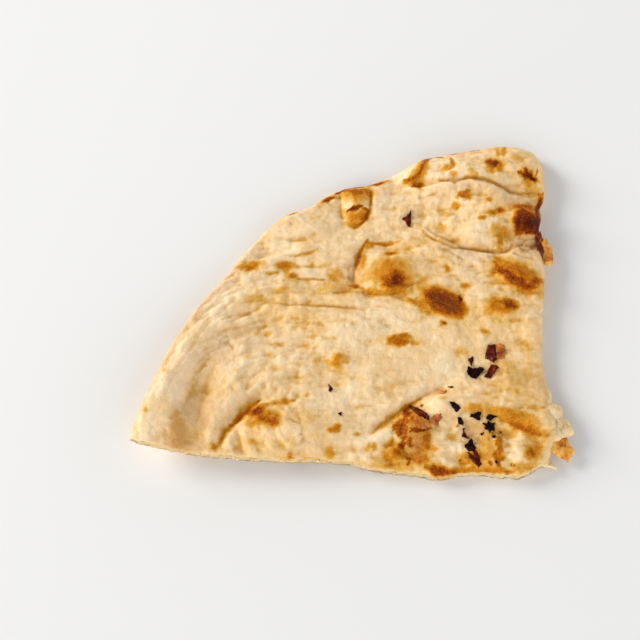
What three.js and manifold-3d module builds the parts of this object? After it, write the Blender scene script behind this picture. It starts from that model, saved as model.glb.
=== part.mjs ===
// A wedge of oven-baked naan, about a quarter of the whole, lying with its blistered side up.
//
// Millimetres, +Z up. The straight cut runs along X at the low-Y side, and the soft baked rim
// goes round the other three sides, down to a torn corner at the right-hand end of the cut.
// The origin is under the middle of the bread, on the surface that it lies on.
//
// The bread is one leathery sheet. A grid is stretched between its four sides, and three
// functions of the place in plan give it its form: how far the underside stands off the table,
// how thick the dough is, and what rises or folds on its top. Burnt onion flakes are fused on.

import * as THREE from "three";
import { mergeVertices } from "three/addons/utils/BufferGeometryUtils.js";
import Module from "manifold-3d";

const wasm = await Module();
wasm.setup();

// ---------------------------------------------------------------- driving dimensions

const SHEET = 6.0; // thickness of the dough away from puffs and edges
const CUT_THICKNESS = 4.0; // where the knife pressed the sheet together
const CUT_PINCH = 11; // how far in from the cut the sheet is back to its full thickness
const RIM_RADIUS = 5.0; // width of the rounding along the baked rim
const RIM_BLUNT = 0.25; // share of the thickness that stays upright at the rim
const BELLY = 0.45; // height of the rim's outermost line, as a share of the thickness

const TIP_CURL = 6.0; // how far the left tip stands off the table
const CURL_FROM = new THREE.Vector2(4, -6); // where the curl begins
const TIP = new THREE.Vector2(-74.6, -52.1); // the left tip, where rim and cut meet
const CORNER = new THREE.Vector2(64.4, -58.8); // the torn right-hand end of the cut
const SHOULDER = new THREE.Vector2(66.4, 62.0); // the rounded far right corner
const BROW = new THREE.Vector2(-32.2, 27.6); // middle of the long curved rim

// ---------------------------------------------------------------- outline in plan

const through = (...points) =>
  new THREE.CatmullRomCurve3(
    points.map((p) => (p.isVector2 ? new THREE.Vector3(p.x, p.y, 0) : new THREE.Vector3(p[0], p[1], 0))),
    false,
    "catmullrom",
    0.5,
  );

// Each side runs the way that the grid counts: the cut and the far rim to the right, the left
// and right rims away from the cut.
const CUT_SIDE = through(
  TIP, [-67.9, -53.3], [-57, -55.7], [-44, -56.8], [-27, -57.5], [-6, -57.9], [9, -60.3],
  [20, -61.3], [28, -62.8], [38, -61.2], [52.5, -62.4], [57, -61.7], [60.7, -59.3], CORNER,
);
const RIGHT_RIM = through(
  CORNER, [65.1, -55], [66.6, -50.8], [67.6, -46.5], [67.6, -41.5], [66.9, -37], [65.2, -28],
  [64.8, -16], [66.6, 3], [67.4, 13], [66.6, 20], [66.2, 28], [67.4, 34], [67.2, 38], [69.2, 43],
  [69.6, 51], [69, 57.6], SHOULDER,
);
const FAR_RIM = through(
  BROW, [-25.5, 34.1], [-20, 36.8], [-14.8, 39], [-9.2, 43.6], [-2.4, 47.1], [5, 48.4],
  [12.3, 51.2], [19, 54.6], [25.4, 58.6], [33, 60.2], [43, 62.6], [53, 65], [61, 64.4], SHOULDER,
);
const LEFT_RIM = through(
  TIP, [-73.7, -46.6], [-71.8, -40], [-67.4, -28], [-62.2, -15.8], [-55.2, -3.2],
  [-44.5, 11.6], [-38.3, 20.6], BROW,
);

const SIDE_SAMPLES = 90;
const baked = [LEFT_RIM, FAR_RIM, RIGHT_RIM].map((side) => side.getSpacedPoints(SIDE_SAMPLES));
const cutLine = CUT_SIDE.getSpacedPoints(SIDE_SAMPLES);

// ---------------------------------------------------------------- top relief

// Puffed places: centre, half length and half width, turn of the length from +X, rise.
// An edge above 1 makes the sides steeper.
const PUFFS = [
  { name: "great blister", at: [11.5, 11.5], half: [10.5, 9.5], turn: 0, rise: 4.0, edge: 1.6 },
  { name: "rim blister", at: [1, 39.5], half: [5.5, 8.5], turn: 6, rise: 2.4, edge: 1.5 },
  { name: "far lobe", at: [47, 53], half: [30, 12], turn: 4, rise: 4.6, edge: 1 },
  { name: "far lobe, left", at: [24, 51], half: [10, 7], turn: 25, rise: 1.6, edge: 1 },
  { name: "tongue", at: [43, 32], half: [26, 16], turn: -8, rise: 2.2, edge: 1 },
  { name: "tongue crown", at: [45, 27], half: [12, 8], turn: 10, rise: 1.6, edge: 1 },
  { name: "right rim burl", at: [62, 33], half: [8, 8], turn: 0, rise: 1.8, edge: 1 },
  { name: "brown oval", at: [31, 0], half: [9, 5.5], turn: -26, rise: 1.3, edge: 1.4 },
  { name: "right ridge", at: [58, 9.5], half: [11, 4.5], turn: -24, rise: 2.4, edge: 1.2 },
  { name: "small brown puff", at: [52, -2], half: [7, 4.5], turn: -8, rise: 1.0, edge: 1 },
  { name: "middle blister", at: [16, -13], half: [7, 4], turn: 0, rise: 0.9, edge: 1 },
  { name: "swirl", at: [-6, -21], half: [5, 4.5], turn: 40, rise: 1.4, edge: 1 },
  { name: "mound by the cut, left", at: [-24, -47], half: [18, 11], turn: -8, rise: 1.4, edge: 1 },
  { name: "mound by the cut, middle", at: [6, -52], half: [13, 9], turn: 10, rise: 1.3, edge: 1 },
  { name: "onion fold", at: [20, -47], half: [7, 9], turn: -15, rise: 2.0, edge: 1.2 },
  { name: "browned lip", at: [28, -60], half: [10, 4.5], turn: 0, rise: 1.3, edge: 1 },
  { name: "plain below the tongue", at: [40, -16], half: [26, 18], turn: 0, rise: -0.9, edge: 1 },
];

// Ridges and creases: a path, half width, and rise, which is below zero for a crease.
const FOLDS = [
  { name: "left ridge", path: [[-70, -46], [-67, -36], [-62, -26], [-56, -16], [-47, -1]], half: 7, rise: 1.6 },
  { name: "left hollow", path: [[-59, -56], [-57, -45], [-54, -34], [-49, -23]], half: 8, rise: -1.5 },
  { name: "brown crease", path: [[-46, -54], [-43, -46], [-39, -40], [-34, -36], [-27, -33]], half: 3.6, rise: -1.9 },
  { name: "blister side", path: [[4, 22], [1, 16], [0.6, 11], [2, 5]], half: 2.6, rise: -2.0 },
  { name: "blister foot", path: [[4, 2.5], [12, 1.6], [21, 4]], half: 2.4, rise: -1.0 },
  { name: "rim blister, left side", path: [[-5.5, 43], [-4.5, 36]], half: 1.8, rise: -1.1 },
  { name: "rim blister, right side", path: [[6.8, 46], [6.6, 35]], half: 1.8, rise: -1.2 },
  { name: "cut-side crease", path: [[2, -49], [9, -45.5], [15, -41.5], [20, -37], [30, -33]], half: 3.2, rise: -1.7 },
  { name: "cut-side ridge", path: [[19, -40], [30, -38], [40, -39], [50, -42], [60, -44], [68, -45]], half: 6.5, rise: 3.0 },
  { name: "standing fold", path: [[48.5, -46], [49.5, -52], [48.5, -61]], half: 3.4, rise: 1.5 },
  { name: "fan wrinkle, upper", path: [[-46, -1], [-38, 4], [-28, 6]], half: 2.6, rise: 0.8 },
  { name: "fan wrinkle, lower", path: [[-50, -9], [-40, -7], [-30, -6]], half: 2.6, rise: 0.9 },
  { name: "brow wrinkle", path: [[-36, 14], [-26, 18.5], [-13, 20.5]], half: 2.8, rise: 1.0 },
  { name: "brow hollow", path: [[-34, 9], [-22, 14], [-12, 16]], half: 2.6, rise: -0.8 },
  { name: "right rim hollow", path: [[58, 20], [63, 22], [67, 24]], half: 4.5, rise: -1.6 },
];

// Edges where one layer of dough lies on another: the layer on the left of the path is higher.
const STEPS = [
  { name: "edge of the tongue", path: [[63.5, 27], [60, 22.5], [55, 19.5], [46, 19.5], [38, 21], [30, 25.5], [20, 33]], rise: 2.0, run: 22 },
  { name: "edge of the far lobe", path: [[70, 45], [63, 41.5], [57, 42.5], [50, 46], [42, 48], [33, 47], [24, 46], [14, 47]], rise: 2.4, run: 18 },
  { name: "long pleat", path: [[15, -1.5], [4, -2.2], [-10, -1.4], [-20, -1], [-30, -2.5]], rise: 1.3, run: 16 },
];
const STEP_WIDTH = 1.6; // plan width of the drop at such an edge

// ---------------------------------------------------------------- toppings

// Flakes lying on the top: centre, and corners about it, all in plan.
const FLAKES = [
  { name: "three-cornered flake", at: [19.9, 32.8], outline: [[0.9, 4.2], [-2.4, 0.2], [0.3, -2.7], [1.2, -1.7]] },
  { name: "amber half of the big flake", at: [50, -18.4], outline: [[-1.6, 2.7], [0, 3.6], [1.7, 3], [2, 0.9], [1.6, -2.2], [-1.4, -2.8]] },
  { name: "brown half of the big flake", at: [46.8, -18.8], outline: [[-0.7, 3.2], [1.9, 3.1], [2.2, -2.5], [0.9, -3.6], [-1.9, -2], [-2, 0]] },
  { name: "curled flake", at: [40, -21.5], outline: [[-1.1, 0.7], [0, -2.1], [1, 0.4], [0.8, 1.8]] },
  { name: "dark flake", at: [41.2, -25.4], outline: [[-2.6, 1.7], [-2.9, -0.8], [-2, -2.4], [0.2, -2.9], [3.3, 0.9], [2.4, 1.6], [-0.8, 1]] },
  { name: "brown flake", at: [46.9, -25.4], outline: [[-0.4, 2.2], [-1.7, -0.2], [-2.8, -2.4], [-0.5, -2.7], [2.5, 1.1], [1.7, 2.2]] },
  { name: "burnt flake 1", at: [33.4, -39.2], outline: [[-1.8, 1.7], [-1, -0.2], [0.6, -2.2], [2.2, -0.7], [0, 1.4]] },
  { name: "burnt flake 2", at: [35.5, -43.8], outline: [[-1.3, 1.5], [-0.8, -0.7], [0.9, -1.7], [1, -0.3], [0.2, 1.2]] },
  { name: "burnt flake 3", at: [40.5, -42.4], outline: [[-2.2, -0.1], [1.4, -1.5], [1.8, 1.4], [-1.6, 0.9]] },
  { name: "burnt flake 4, far half", at: [45.7, -43], outline: [[-1.8, 0], [-0.8, -1.2], [2.2, 0.4], [-0.6, 1.1]] },
  { name: "burnt flake 4, near half", at: [45, -46], outline: [[-2.3, 1.2], [-1.4, -0.6], [0.7, -2.3], [1.6, -0.3], [1.7, 1.3], [-0.5, 1.9]] },
  { name: "burnt flake 5", at: [38.6, -52.3], outline: [[0.2, 2.7], [-1.4, 0.7], [-2.2, -0.8], [-0.5, -2], [1.2, -1.6], [1.7, -0.6]] },
  { name: "brown tail of flake 5", at: [39.6, -56.4], outline: [[-2.6, 2.3], [-0.9, -0.8], [1.5, -3.7], [2.7, -2.6], [0.9, 2.8]] },
  { name: "brown splinter", at: [36.7, -48.2], outline: [[-0.6, 2], [-1, -0.7], [1.6, -1.5]] },
  { name: "amber shred", at: [29.7, -33.1], outline: [[-1, 1.1], [-0.9, -0.6], [0.2, -1.1], [1.7, 0.4]] },
  { name: "thin sliver", at: [-8.1, -32.1], outline: [[-0.6, 1.8], [-0.5, -0.4], [0.2, -1.4], [0.9, 0]] },
  { name: "fallen crumb", at: [-4.7, -41.5], outline: [[-0.9, 0.3], [0.2, -0.8], [0.6, 0.9]] },
  { name: "onion fold", at: [22.8, -41.5], outline: [[-2.6, 2.6], [-1.7, 0.8], [0.9, -2.5], [2.3, -2.3], [2.5, -0.7]] },
  { name: "onion tail", at: [27.3, -43.8], outline: [[-2.4, 1], [-2.5, -1.5], [0.8, -1.8], [2.3, -0.3], [1.4, 2.1]] },
];
const FLAKE_THICKNESS = 0.9;
const FLAKE_SINK = 0.45; // how deep a flake is baked into the crust

// Thin pieces at the rim: a corner of the outline and its height above the table, the other
// corners in plan from there, thickness, and how steeply the piece falls towards +X.
const RIM_BITS = [
  {
    name: "corner onion", at: [66.4, -49.2, 3.8], thick: 1.5, fall: 10,
    outline: [[-2, 0.4], [-1.6, -4.4], [1.2, -5.8], [2.9, -6.9], [4.9, -8], [6.1, -5.4], [7.5, -4.6], [5.6, -1.6], [4.8, 1.2]],
  },
  {
    name: "torn shred", at: [62, -56.6, 3], thick: 1.3, fall: 8,
    outline: [[-1, 1.6], [-2, -1.6], [3, -2.2], [5.6, -3], [3.1, 0.2]],
  },
  {
    name: "side onion", at: [65, 21, 4.4], thick: 1.4, fall: 24,
    outline: [[-1, 1], [2.3, -3], [3.4, -6.7], [4.8, -5], [5.7, -2.3], [5.9, 1.5], [4.4, 3], [3.1, 7.3], [-0.5, 7.4]],
  },
];

// Round crumbs pulled out of the torn corner: centre and half sizes.
const CRUMBS = [
  { name: "upper crumb", at: [67, -41.4, 3.4], half: [2.7, 2.7, 2.6] },
  { name: "lower crumb", at: [69.2, -46, 3.2], half: [3.4, 2.5, 2.3] },
];

// ---------------------------------------------------------------- fields

const smooth = (t) => {
  const s = Math.min(Math.max(t, 0), 1);
  return s * s * (3 - 2 * s);
};

// Distance from (x, y) to a run of points, how far along it the nearest place is as a share,
// and on which side the point lies: above zero on the left.
function nearest(x, y, points) {
  let best = { distance: Infinity, share: 0, side: 1 };
  for (let i = 0; i + 1 < points.length; i++) {
    const [ax, ay] = points[i];
    const [bx, by] = points[i + 1];
    const dx = bx - ax;
    const dy = by - ay;
    const t = Math.min(Math.max(((x - ax) * dx + (y - ay) * dy) / (dx * dx + dy * dy), 0), 1);
    const distance = Math.hypot(x - ax - t * dx, y - ay - t * dy);
    if (distance < best.distance) {
      const side = Math.sign(dx * (y - ay) - dy * (x - ax)) || 1;
      best = { distance, share: (i + t) / (points.length - 1), side };
    }
  }
  return best;
}

const asPairs = (points) => points.map((p) => [p.x, p.y]);
const bakedPairs = baked.map(asPairs);
const cutPairs = asPairs(cutLine);
const toRim = (x, y) => Math.min(...bakedPairs.map((side) => nearest(x, y, side).distance));
const toCut = (x, y) => nearest(x, y, cutPairs).distance;

// How far the underside stands off the table: the left tip curls up, the cut lifts a little
// where the knife dragged it, and low waves leave the bread resting on a few broad patches.
function underside(x, y) {
  const towardsTip = TIP.clone().sub(CURL_FROM);
  const along = new THREE.Vector2(x, y).sub(CURL_FROM).dot(towardsTip) / towardsTip.lengthSq();
  const curl = TIP_CURL * Math.max(along, 0) ** 1.7;
  const dragged = 1.9 * Math.exp(-toCut(x, y) / 12) * smooth((26 - x) / 40);
  const waves = 0.9 * Math.sin(x / 15 + 0.6) * Math.cos(y / 13 + 0.4) + 0.5 * Math.sin((x + y) / 11);
  const edgeLift = 1.2 * Math.exp(-toRim(x, y) / 9);
  return Math.max(0, curl + dragged + edgeLift + 0.8 * waves - 0.75);
}

function puffHeight(x, y, { at, half, turn, rise, edge }) {
  const angle = THREE.MathUtils.degToRad(turn);
  const dx = x - at[0];
  const dy = y - at[1];
  const along = (dx * Math.cos(angle) + dy * Math.sin(angle)) / half[0];
  const across = (dy * Math.cos(angle) - dx * Math.sin(angle)) / half[1];
  const q = Math.min(along * along + across * across, 1);
  return rise * Math.pow(1 - Math.pow(q, edge), 2);
}

// A fold fades out over the last fifth of its path at both ends.
const endFade = (share) => smooth(share / 0.2) * smooth((1 - share) / 0.2);

function foldHeight(x, y, { path, half, rise }) {
  const { distance, share } = nearest(x, y, path);
  return distance < half ? rise * Math.pow(1 - (distance / half) ** 2, 2) * (0.35 + 0.65 * endFade(share)) : 0;
}

function stepHeight(x, y, { path, rise, run }) {
  const { distance, share, side } = nearest(x, y, path);
  const signed = distance * side;
  return rise * smooth(signed / STEP_WIDTH + 0.5) * Math.exp(-Math.max(signed, 0) / run) * endFade(share);
}

function relief(x, y) {
  let height = 0.35 * Math.sin(x / 6.1 + Math.sin(y / 9)) * Math.sin(y / 5.3 + 0.8);
  for (const puff of PUFFS) height += puffHeight(x, y, puff);
  for (const fold of FOLDS) height += foldHeight(x, y, fold);
  for (const step of STEPS) height += stepHeight(x, y, step);
  return height;
}

const thickness = (x, y) =>
  Math.max(2.4, (CUT_THICKNESS + (SHEET - CUT_THICKNESS) * smooth(toCut(x, y) / CUT_PINCH)) + relief(x, y));

// Rounding of the baked rim in section: 1 inside it, RIM_BLUNT at the outermost line.
function rimRound(x, y) {
  const s = 1 - Math.min(toRim(x, y) / RIM_RADIUS, 1);
  return RIM_BLUNT + (1 - RIM_BLUNT) * Math.sqrt(1 - s * s);
}

const topAt = (x, y) => underside(x, y) + thickness(x, y) * (BELLY + (1 - BELLY) * rimRound(x, y));
const bottomAt = (x, y) => underside(x, y) + 0.8 * SHEET * BELLY * (1 - rimRound(x, y));

// ---------------------------------------------------------------- the sheet of dough

const ACROSS = 64; // grid cells along the cut, an even number
const DEEP = 54; // grid cells away from the cut, an even number
const RIM_LINES = [0, 0.9, 2.2, 4.2]; // grid lines near each side, in mm in from it
const MEAN_WIDTH = 140;
const MEAN_DEPTH = 112;

// Grid lines as shares of the way across: close together at both ends, even in between.
function gridLines(cells, span) {
  const first = RIM_LINES.length - 1;
  const even = cells - 2 * first;
  const inset = RIM_LINES[first] / span;
  return Array.from({ length: cells + 1 }, (_, k) => {
    if (k < first) return RIM_LINES[k] / span;
    if (k > cells - first) return 1 - RIM_LINES[cells - k] / span;
    return inset + ((k - first) / even) * (1 - 2 * inset);
  });
}

// A place in plan from its shares across and away, blended between the four sides.
function planPoint(u, v) {
  const low = CUT_SIDE.getPointAt(u);
  const high = FAR_RIM.getPointAt(u);
  const left = LEFT_RIM.getPointAt(v);
  const right = RIGHT_RIM.getPointAt(v);
  const blend = (k, tip, corner, brow, shoulder) =>
    (1 - v) * low[k] + v * high[k] + (1 - u) * left[k] + u * right[k] -
    ((1 - u) * (1 - v) * tip + u * (1 - v) * corner + (1 - u) * v * brow + u * v * shoulder);
  return [
    blend("x", TIP.x, CORNER.x, BROW.x, SHOULDER.x),
    blend("y", TIP.y, CORNER.y, BROW.y, SHOULDER.y),
  ];
}

function breadGeometry() {
  const us = gridLines(ACROSS, MEAN_WIDTH);
  const vs = gridLines(DEEP, MEAN_DEPTH);
  const plan = us.map((u) => vs.map((v) => planPoint(u, v)));
  const positions = [];
  const faces = [];
  const add = (x, y, z) => positions.push(x, y, z) / 3 - 1;
  const onEdge = (i, j) => i === 0 || j === 0 || i === ACROSS || j === DEEP;

  const top = plan.map((column) => column.map(([x, y]) => add(x, y, topAt(x, y))));
  // The underside has half as many lines inside, and all of them at its edge.
  const bottom = plan.map((column, i) =>
    column.map(([x, y], j) => (onEdge(i, j) || (i % 2 === 0 && j % 2 === 0) ? add(x, y, bottomAt(x, y)) : -1)),
  );

  // Each cell is split along the diagonal that climbs less, so that it follows the folds.
  const climb = (p, q) => Math.abs(positions[3 * p + 2] - positions[3 * q + 2]);
  for (let i = 0; i < ACROSS; i++)
    for (let j = 0; j < DEEP; j++) {
      const [a, b, c, d] = [top[i][j], top[i + 1][j], top[i + 1][j + 1], top[i][j + 1]];
      if (climb(a, c) < climb(b, d)) faces.push(a, b, c, a, c, d);
      else faces.push(a, b, d, b, c, d);
    }

  for (let i = 0; i < ACROSS; i += 2)
    for (let j = 0; j < DEEP; j += 2) {
      const round = [[0, 0], [1, 0], [2, 0], [2, 1], [2, 2], [1, 2], [0, 2], [0, 1]]
        .map(([di, dj]) => ({ at: bottom[i + di][j + dj], middle: di === 1 || dj === 1 }))
        .filter((p) => p.at >= 0);
      const first = Math.max(round.findIndex((p) => p.middle), 0);
      const ring = round.map((_, k) => round[(first + k) % round.length].at);
      for (let k = 1; k + 1 < ring.length; k++) faces.push(ring[0], ring[k + 1], ring[k]);
    }

  const loop = [];
  for (let i = 0; i < ACROSS; i++) loop.push([i, 0]);
  for (let j = 0; j < DEEP; j++) loop.push([ACROSS, j]);
  for (let i = ACROSS; i > 0; i--) loop.push([i, DEEP]);
  for (let j = DEEP; j > 0; j--) loop.push([0, j]);
  loop.forEach(([i, j], k) => {
    const [m, n] = loop[(k + 1) % loop.length];
    faces.push(top[i][j], bottom[i][j], bottom[m][n], top[i][j], bottom[m][n], top[m][n]);
  });

  return new THREE.BufferGeometry()
    .setAttribute("position", new THREE.Float32BufferAttribute(positions, 3))
    .setIndex(faces);
}

// ---------------------------------------------------------------- flakes, rim bits and crumbs

// A thin plate of the outline's form, centred on its own plane.
const plateGeometry = (outline, thick) =>
  new THREE.ExtrudeGeometry(new THREE.Shape(outline.map(([x, y]) => new THREE.Vector2(x, y))), {
    depth: thick,
    bevelEnabled: false,
  }).translate(0, 0, -thick / 2);

function flakeGeometry({ at: [x, y], outline }) {
  const slopeX = (topAt(x + 1, y) - topAt(x - 1, y)) / 2;
  const slopeY = (topAt(x, y + 1) - topAt(x, y - 1)) / 2;
  const normal = new THREE.Vector3(-slopeX, -slopeY, 1).normalize();
  const lie = new THREE.Quaternion().setFromUnitVectors(new THREE.Vector3(0, 0, 1), normal);
  return plateGeometry(outline, FLAKE_THICKNESS)
    .applyQuaternion(lie)
    .translate(x, y, topAt(x, y) + FLAKE_THICKNESS / 2 - FLAKE_SINK);
}

const rimBitGeometry = ({ at, thick, fall, outline }) =>
  plateGeometry(outline, thick)
    .rotateY(THREE.MathUtils.degToRad(fall))
    .translate(...at);

const crumbGeometry = ({ at, half }) =>
  new THREE.IcosahedronGeometry(1, 1).scale(...half).translate(...at);

// ---------------------------------------------------------------- joining

function toSolid(geometry) {
  const bare = geometry.clone();
  bare.deleteAttribute("normal");
  bare.deleteAttribute("uv");
  const merged = mergeVertices(bare, 1e-4);
  return new wasm.Manifold(
    new wasm.Mesh({
      numProp: 3,
      vertProperties: merged.attributes.position.array,
      triVerts: new Uint32Array(merged.index.array),
    }),
  );
}

function toGeometry(solid) {
  const { numProp, numVert, vertProperties, triVerts } = solid.getMesh();
  const positions = new Float32Array(numVert * 3);
  for (let k = 0; k < numVert; k++) positions.set(vertProperties.subarray(k * numProp, k * numProp + 3), 3 * k);
  const geometry = new THREE.BufferGeometry()
    .setAttribute("position", new THREE.BufferAttribute(positions, 3))
    .setIndex(new THREE.BufferAttribute(triVerts, 1));
  geometry.computeVertexNormals();
  return geometry;
}

// Moves the geometry so that the origin is under the middle of its bounding box.
function centredOnTable(geometry) {
  geometry.computeBoundingBox();
  const { min, max } = geometry.boundingBox;
  return geometry.translate(-(min.x + max.x) / 2, -(min.y + max.y) / 2, -min.z);
}

const toppings = [
  ...FLAKES.map(flakeGeometry),
  ...RIM_BITS.map(rimBitGeometry),
  ...CRUMBS.map(crumbGeometry),
];
const solid = toppings.reduce((whole, piece) => whole.add(toSolid(piece)), toSolid(breadGeometry()));

const crust = new THREE.MeshStandardMaterial({ color: 0xeecb96, roughness: 0.62, metalness: 0 });
const bread = new THREE.Mesh(centredOnTable(toGeometry(solid)), crust);
bread.name = "naan_bread";

const naan = new THREE.Group();
naan.add(bread);
export default naan;
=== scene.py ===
"""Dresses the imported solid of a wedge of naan: a leathery baked sheet with butter and burnt onion.

Sizes are millimetres in the sheet's own plan axes: X runs along the knife cut, Y away from it, and
Z is the height above the table. Meshes are in metres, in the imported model's frame.
"""

import logging
import math
from collections.abc import Sequence
from dataclasses import dataclass, field
from enum import Enum

import bpy
import numpy as np
from mathutils import Matrix, Quaternion, Vector, noise


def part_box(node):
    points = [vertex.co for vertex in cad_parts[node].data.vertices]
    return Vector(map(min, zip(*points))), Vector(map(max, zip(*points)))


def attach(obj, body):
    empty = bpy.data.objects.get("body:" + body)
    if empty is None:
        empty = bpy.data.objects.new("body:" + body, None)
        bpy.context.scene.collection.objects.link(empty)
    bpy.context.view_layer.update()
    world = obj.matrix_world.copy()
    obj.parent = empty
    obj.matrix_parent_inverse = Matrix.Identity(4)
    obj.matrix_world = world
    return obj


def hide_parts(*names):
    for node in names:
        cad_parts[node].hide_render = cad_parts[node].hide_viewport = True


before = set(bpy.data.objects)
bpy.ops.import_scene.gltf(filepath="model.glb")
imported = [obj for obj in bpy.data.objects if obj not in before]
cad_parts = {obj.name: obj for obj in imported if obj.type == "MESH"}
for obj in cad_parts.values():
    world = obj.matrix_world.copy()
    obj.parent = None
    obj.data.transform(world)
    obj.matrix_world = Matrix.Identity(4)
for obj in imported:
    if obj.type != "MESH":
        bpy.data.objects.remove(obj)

LOG = logging.getLogger("naan")
BREAD_NODE = "naan_bread"
BODY = "root"

MM = 0.001  # metres in a millimetre
TINY = 1e-3  # keeps divisions and angles away from zero
SHIFT = (0.342, -1.113)  # from the sheet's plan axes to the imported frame, which is centred on its box

Pair = tuple[float, float]
Triple = tuple[float, float, float]
Path = tuple[Pair, ...]
Field = np.ndarray
Mesh = tuple[Field, list]  # points in sheet millimetres, and faces as vertex numbers
Piece = bpy.types.Object
Material = bpy.types.Material
Tree = bpy.types.NodeTree
Socket = bpy.types.NodeSocket


class Slot(Enum):
    """The record's material slots."""

    CRUST = "crust"
    ONION = "onion"
    CHAR = "char"


class Layer(Enum):
    """What lies on or happened to a place of the surface, or the shade and light painted on it, each a share
    from 0 to 1 at every vertex.
    """

    TOAST = "toast"  # browning, from raw cream to black
    BUTTER = "butter"  # melted butter soaked into the skin
    FLOUR_AND_HIGHLIGHT = "flour"  # dry flour left on the skin, and painted highlights of its pale tone on crests, lit blister sides and shaded slopes
    SHADE_AND_MOIST = "shade_and_moist"  # pinkish grey: moist dough, and painted shade in hollows, folds, under edges and along the left rim
    CRUMB = "crumb"  # open crumb where the skin is cut or torn
    NEAR = "near"  # how strongly the painted shade line of the nearest crease shows
    ACROSS = "across"  # millimetres to one side or the other of the nearest crease


# ---------------------------------------------------------------- small tools


def smooth(value: Field) -> Field:
    """Eases 0 to 1, clamped outside."""
    clamped = np.clip(value, 0.0, 1.0)
    return clamped * clamped * (3.0 - 2.0 * clamped)


def within_ends(share: Field, over: float) -> Field:
    """Eases from 0 at both ends of a path to 1 between them, over this share of its length."""
    return smooth(share / over) * smooth((1.0 - share) / over)


def in_oval(x: Field, y: Field, at: Pair, half: Pair, turn: float) -> tuple[Field, Field]:
    """Measures places in an oval's own half sizes.

    Args:
        x: Places along the cut.
        y: Places away from the cut.
        at: The oval's middle.
        half: Its half length and half width.
        turn: Degrees from X to its length.

    Returns:
        How far along it and across it each place lies.
    """
    angle = math.radians(turn)
    dx, dy = x - at[0], y - at[1]
    along = (dx * math.cos(angle) + dy * math.sin(angle)) / half[0]
    across = (dy * math.cos(angle) - dx * math.sin(angle)) / half[1]
    return along, across


def nearest(x: Field, y: Field, path: Sequence[Pair]) -> tuple[Field, Field, Field]:
    """Finds each place's nearest point on a run of points.

    Args:
        x: Places along the cut.
        y: Places away from the cut.
        path: The run of points.

    Returns:
        The distance, how far along the path it is as a share, and the side: above zero on the left.
    """
    distance = np.full(np.shape(x), np.inf)
    share = np.zeros(np.shape(x))
    side = np.ones(np.shape(x))
    last = len(path) - 1
    for index, ((ax, ay), (bx, by)) in enumerate(zip(path, path[1:])):
        dx, dy = bx - ax, by - ay
        along = np.clip(((x - ax) * dx + (y - ay) * dy) / (dx * dx + dy * dy), 0.0, 1.0)
        gap = np.hypot(x - ax - along * dx, y - ay - along * dy)
        closer = gap < distance
        turned = np.where(dx * (y - ay) - dy * (x - ax) < 0.0, -1.0, 1.0)
        distance = np.where(closer, gap, distance)
        share = np.where(closer, (index + along) / last, share)
        side = np.where(closer, turned, side)
    return distance, share, side


def curve_through(points: Sequence[Pair], samples: int) -> Field:
    """Samples a smooth curve through points at even steps of its length.

    Args:
        points: The points it passes through.
        samples: How many places to give.

    Returns:
        An array of that many places in plan.
    """
    per_span = 60
    knots = np.array(points, float)
    knots = np.vstack([2.0 * knots[0] - knots[1], knots, 2.0 * knots[-1] - knots[-2]])
    t = np.linspace(0.0, 1.0, per_span, endpoint=False)[:, None]
    spans = []
    for before, start, end, after in zip(knots, knots[1:], knots[2:], knots[3:]):
        leave, arrive = (end - before) / 2.0, (after - start) / 2.0
        bend = 3.0 * (end - start) - 2.0 * leave - arrive
        turn = 2.0 * (start - end) + leave + arrive
        spans.append(start + t * (leave + t * (bend + t * turn)))
    dense = np.vstack([*spans, knots[-2][None, :]])
    run = np.concatenate([[0.0], np.cumsum(np.hypot(*np.diff(dense, axis=0).T))])
    wanted = np.linspace(0.0, run[-1], samples)
    return np.stack([np.interp(wanted, run, dense[:, axis]) for axis in (0, 1)], axis=1)


@dataclass(frozen=True)
class Ripple:
    """Smooth seeded noise in plan."""

    size: float  # width of one hump in millimetres
    seed: float
    octaves: int = 3  # ever finer layers of it
    height: float = 1.0
    level: float = 0.0  # the value it lies about

    def over(self, x: Field, y: Field) -> Field:
        """Measures the noise.

        Args:
            x: Places along the cut.
            y: Places away from the cut.

        Returns:
            Its values, mostly within its height from its level.
        """
        flat_x = (np.asarray(x, float) / self.size).ravel()
        flat_y = (np.asarray(y, float) / self.size).ravel()
        values = [
            noise.fractal((float(px), float(py), self.seed), 1.0, 2.0, self.octaves)
            for px, py in zip(flat_x, flat_y)
        ]
        return self.level + self.height * np.array(values).reshape(np.shape(x))


# ---------------------------------------------------------------- the sheet's form


@dataclass(frozen=True)
class Place:
    """Places in plan, with their distances to the baked rim and to the knife cut."""

    x: Field
    y: Field
    rim: Field
    cut: Field


@dataclass(frozen=True)
class Puff:
    """A raised place: centre, half length and half width, turn of its length from X, rise."""

    name: str
    at: Pair
    half: Pair
    turn: float
    rise: float
    edge: float = 1.0  # above 1 the sides are steeper

    def height(self, x: Field, y: Field) -> Field:
        """Measures the puff.

        Args:
            x: Places along the cut.
            y: Places away from the cut.

        Returns:
            Its height at each place.
        """
        along, across = in_oval(x, y, self.at, self.half, self.turn)
        q = np.minimum(along * along + across * across, 1.0)
        return self.rise * (1.0 - q**self.edge) ** 2


@dataclass(frozen=True)
class Fold:
    """A ridge, or with a rise below zero a crease: a path and the half width."""

    name: str
    path: Path
    half: float
    rise: float

    def height(self, x: Field, y: Field) -> Field:
        """Measures the ridge or crease.

        Args:
            x: Places along the cut.
            y: Places away from the cut.

        Returns:
            Its height at each place, lower towards both ends.
        """
        distance, share, _ = nearest(x, y, self.path)
        at_ends = 0.35  # share of the height that is left there
        inside = np.maximum(1.0 - (distance / self.half) ** 2, 0.0)
        return self.rise * inside**2 * (at_ends + (1.0 - at_ends) * within_ends(share, 0.2))


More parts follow.
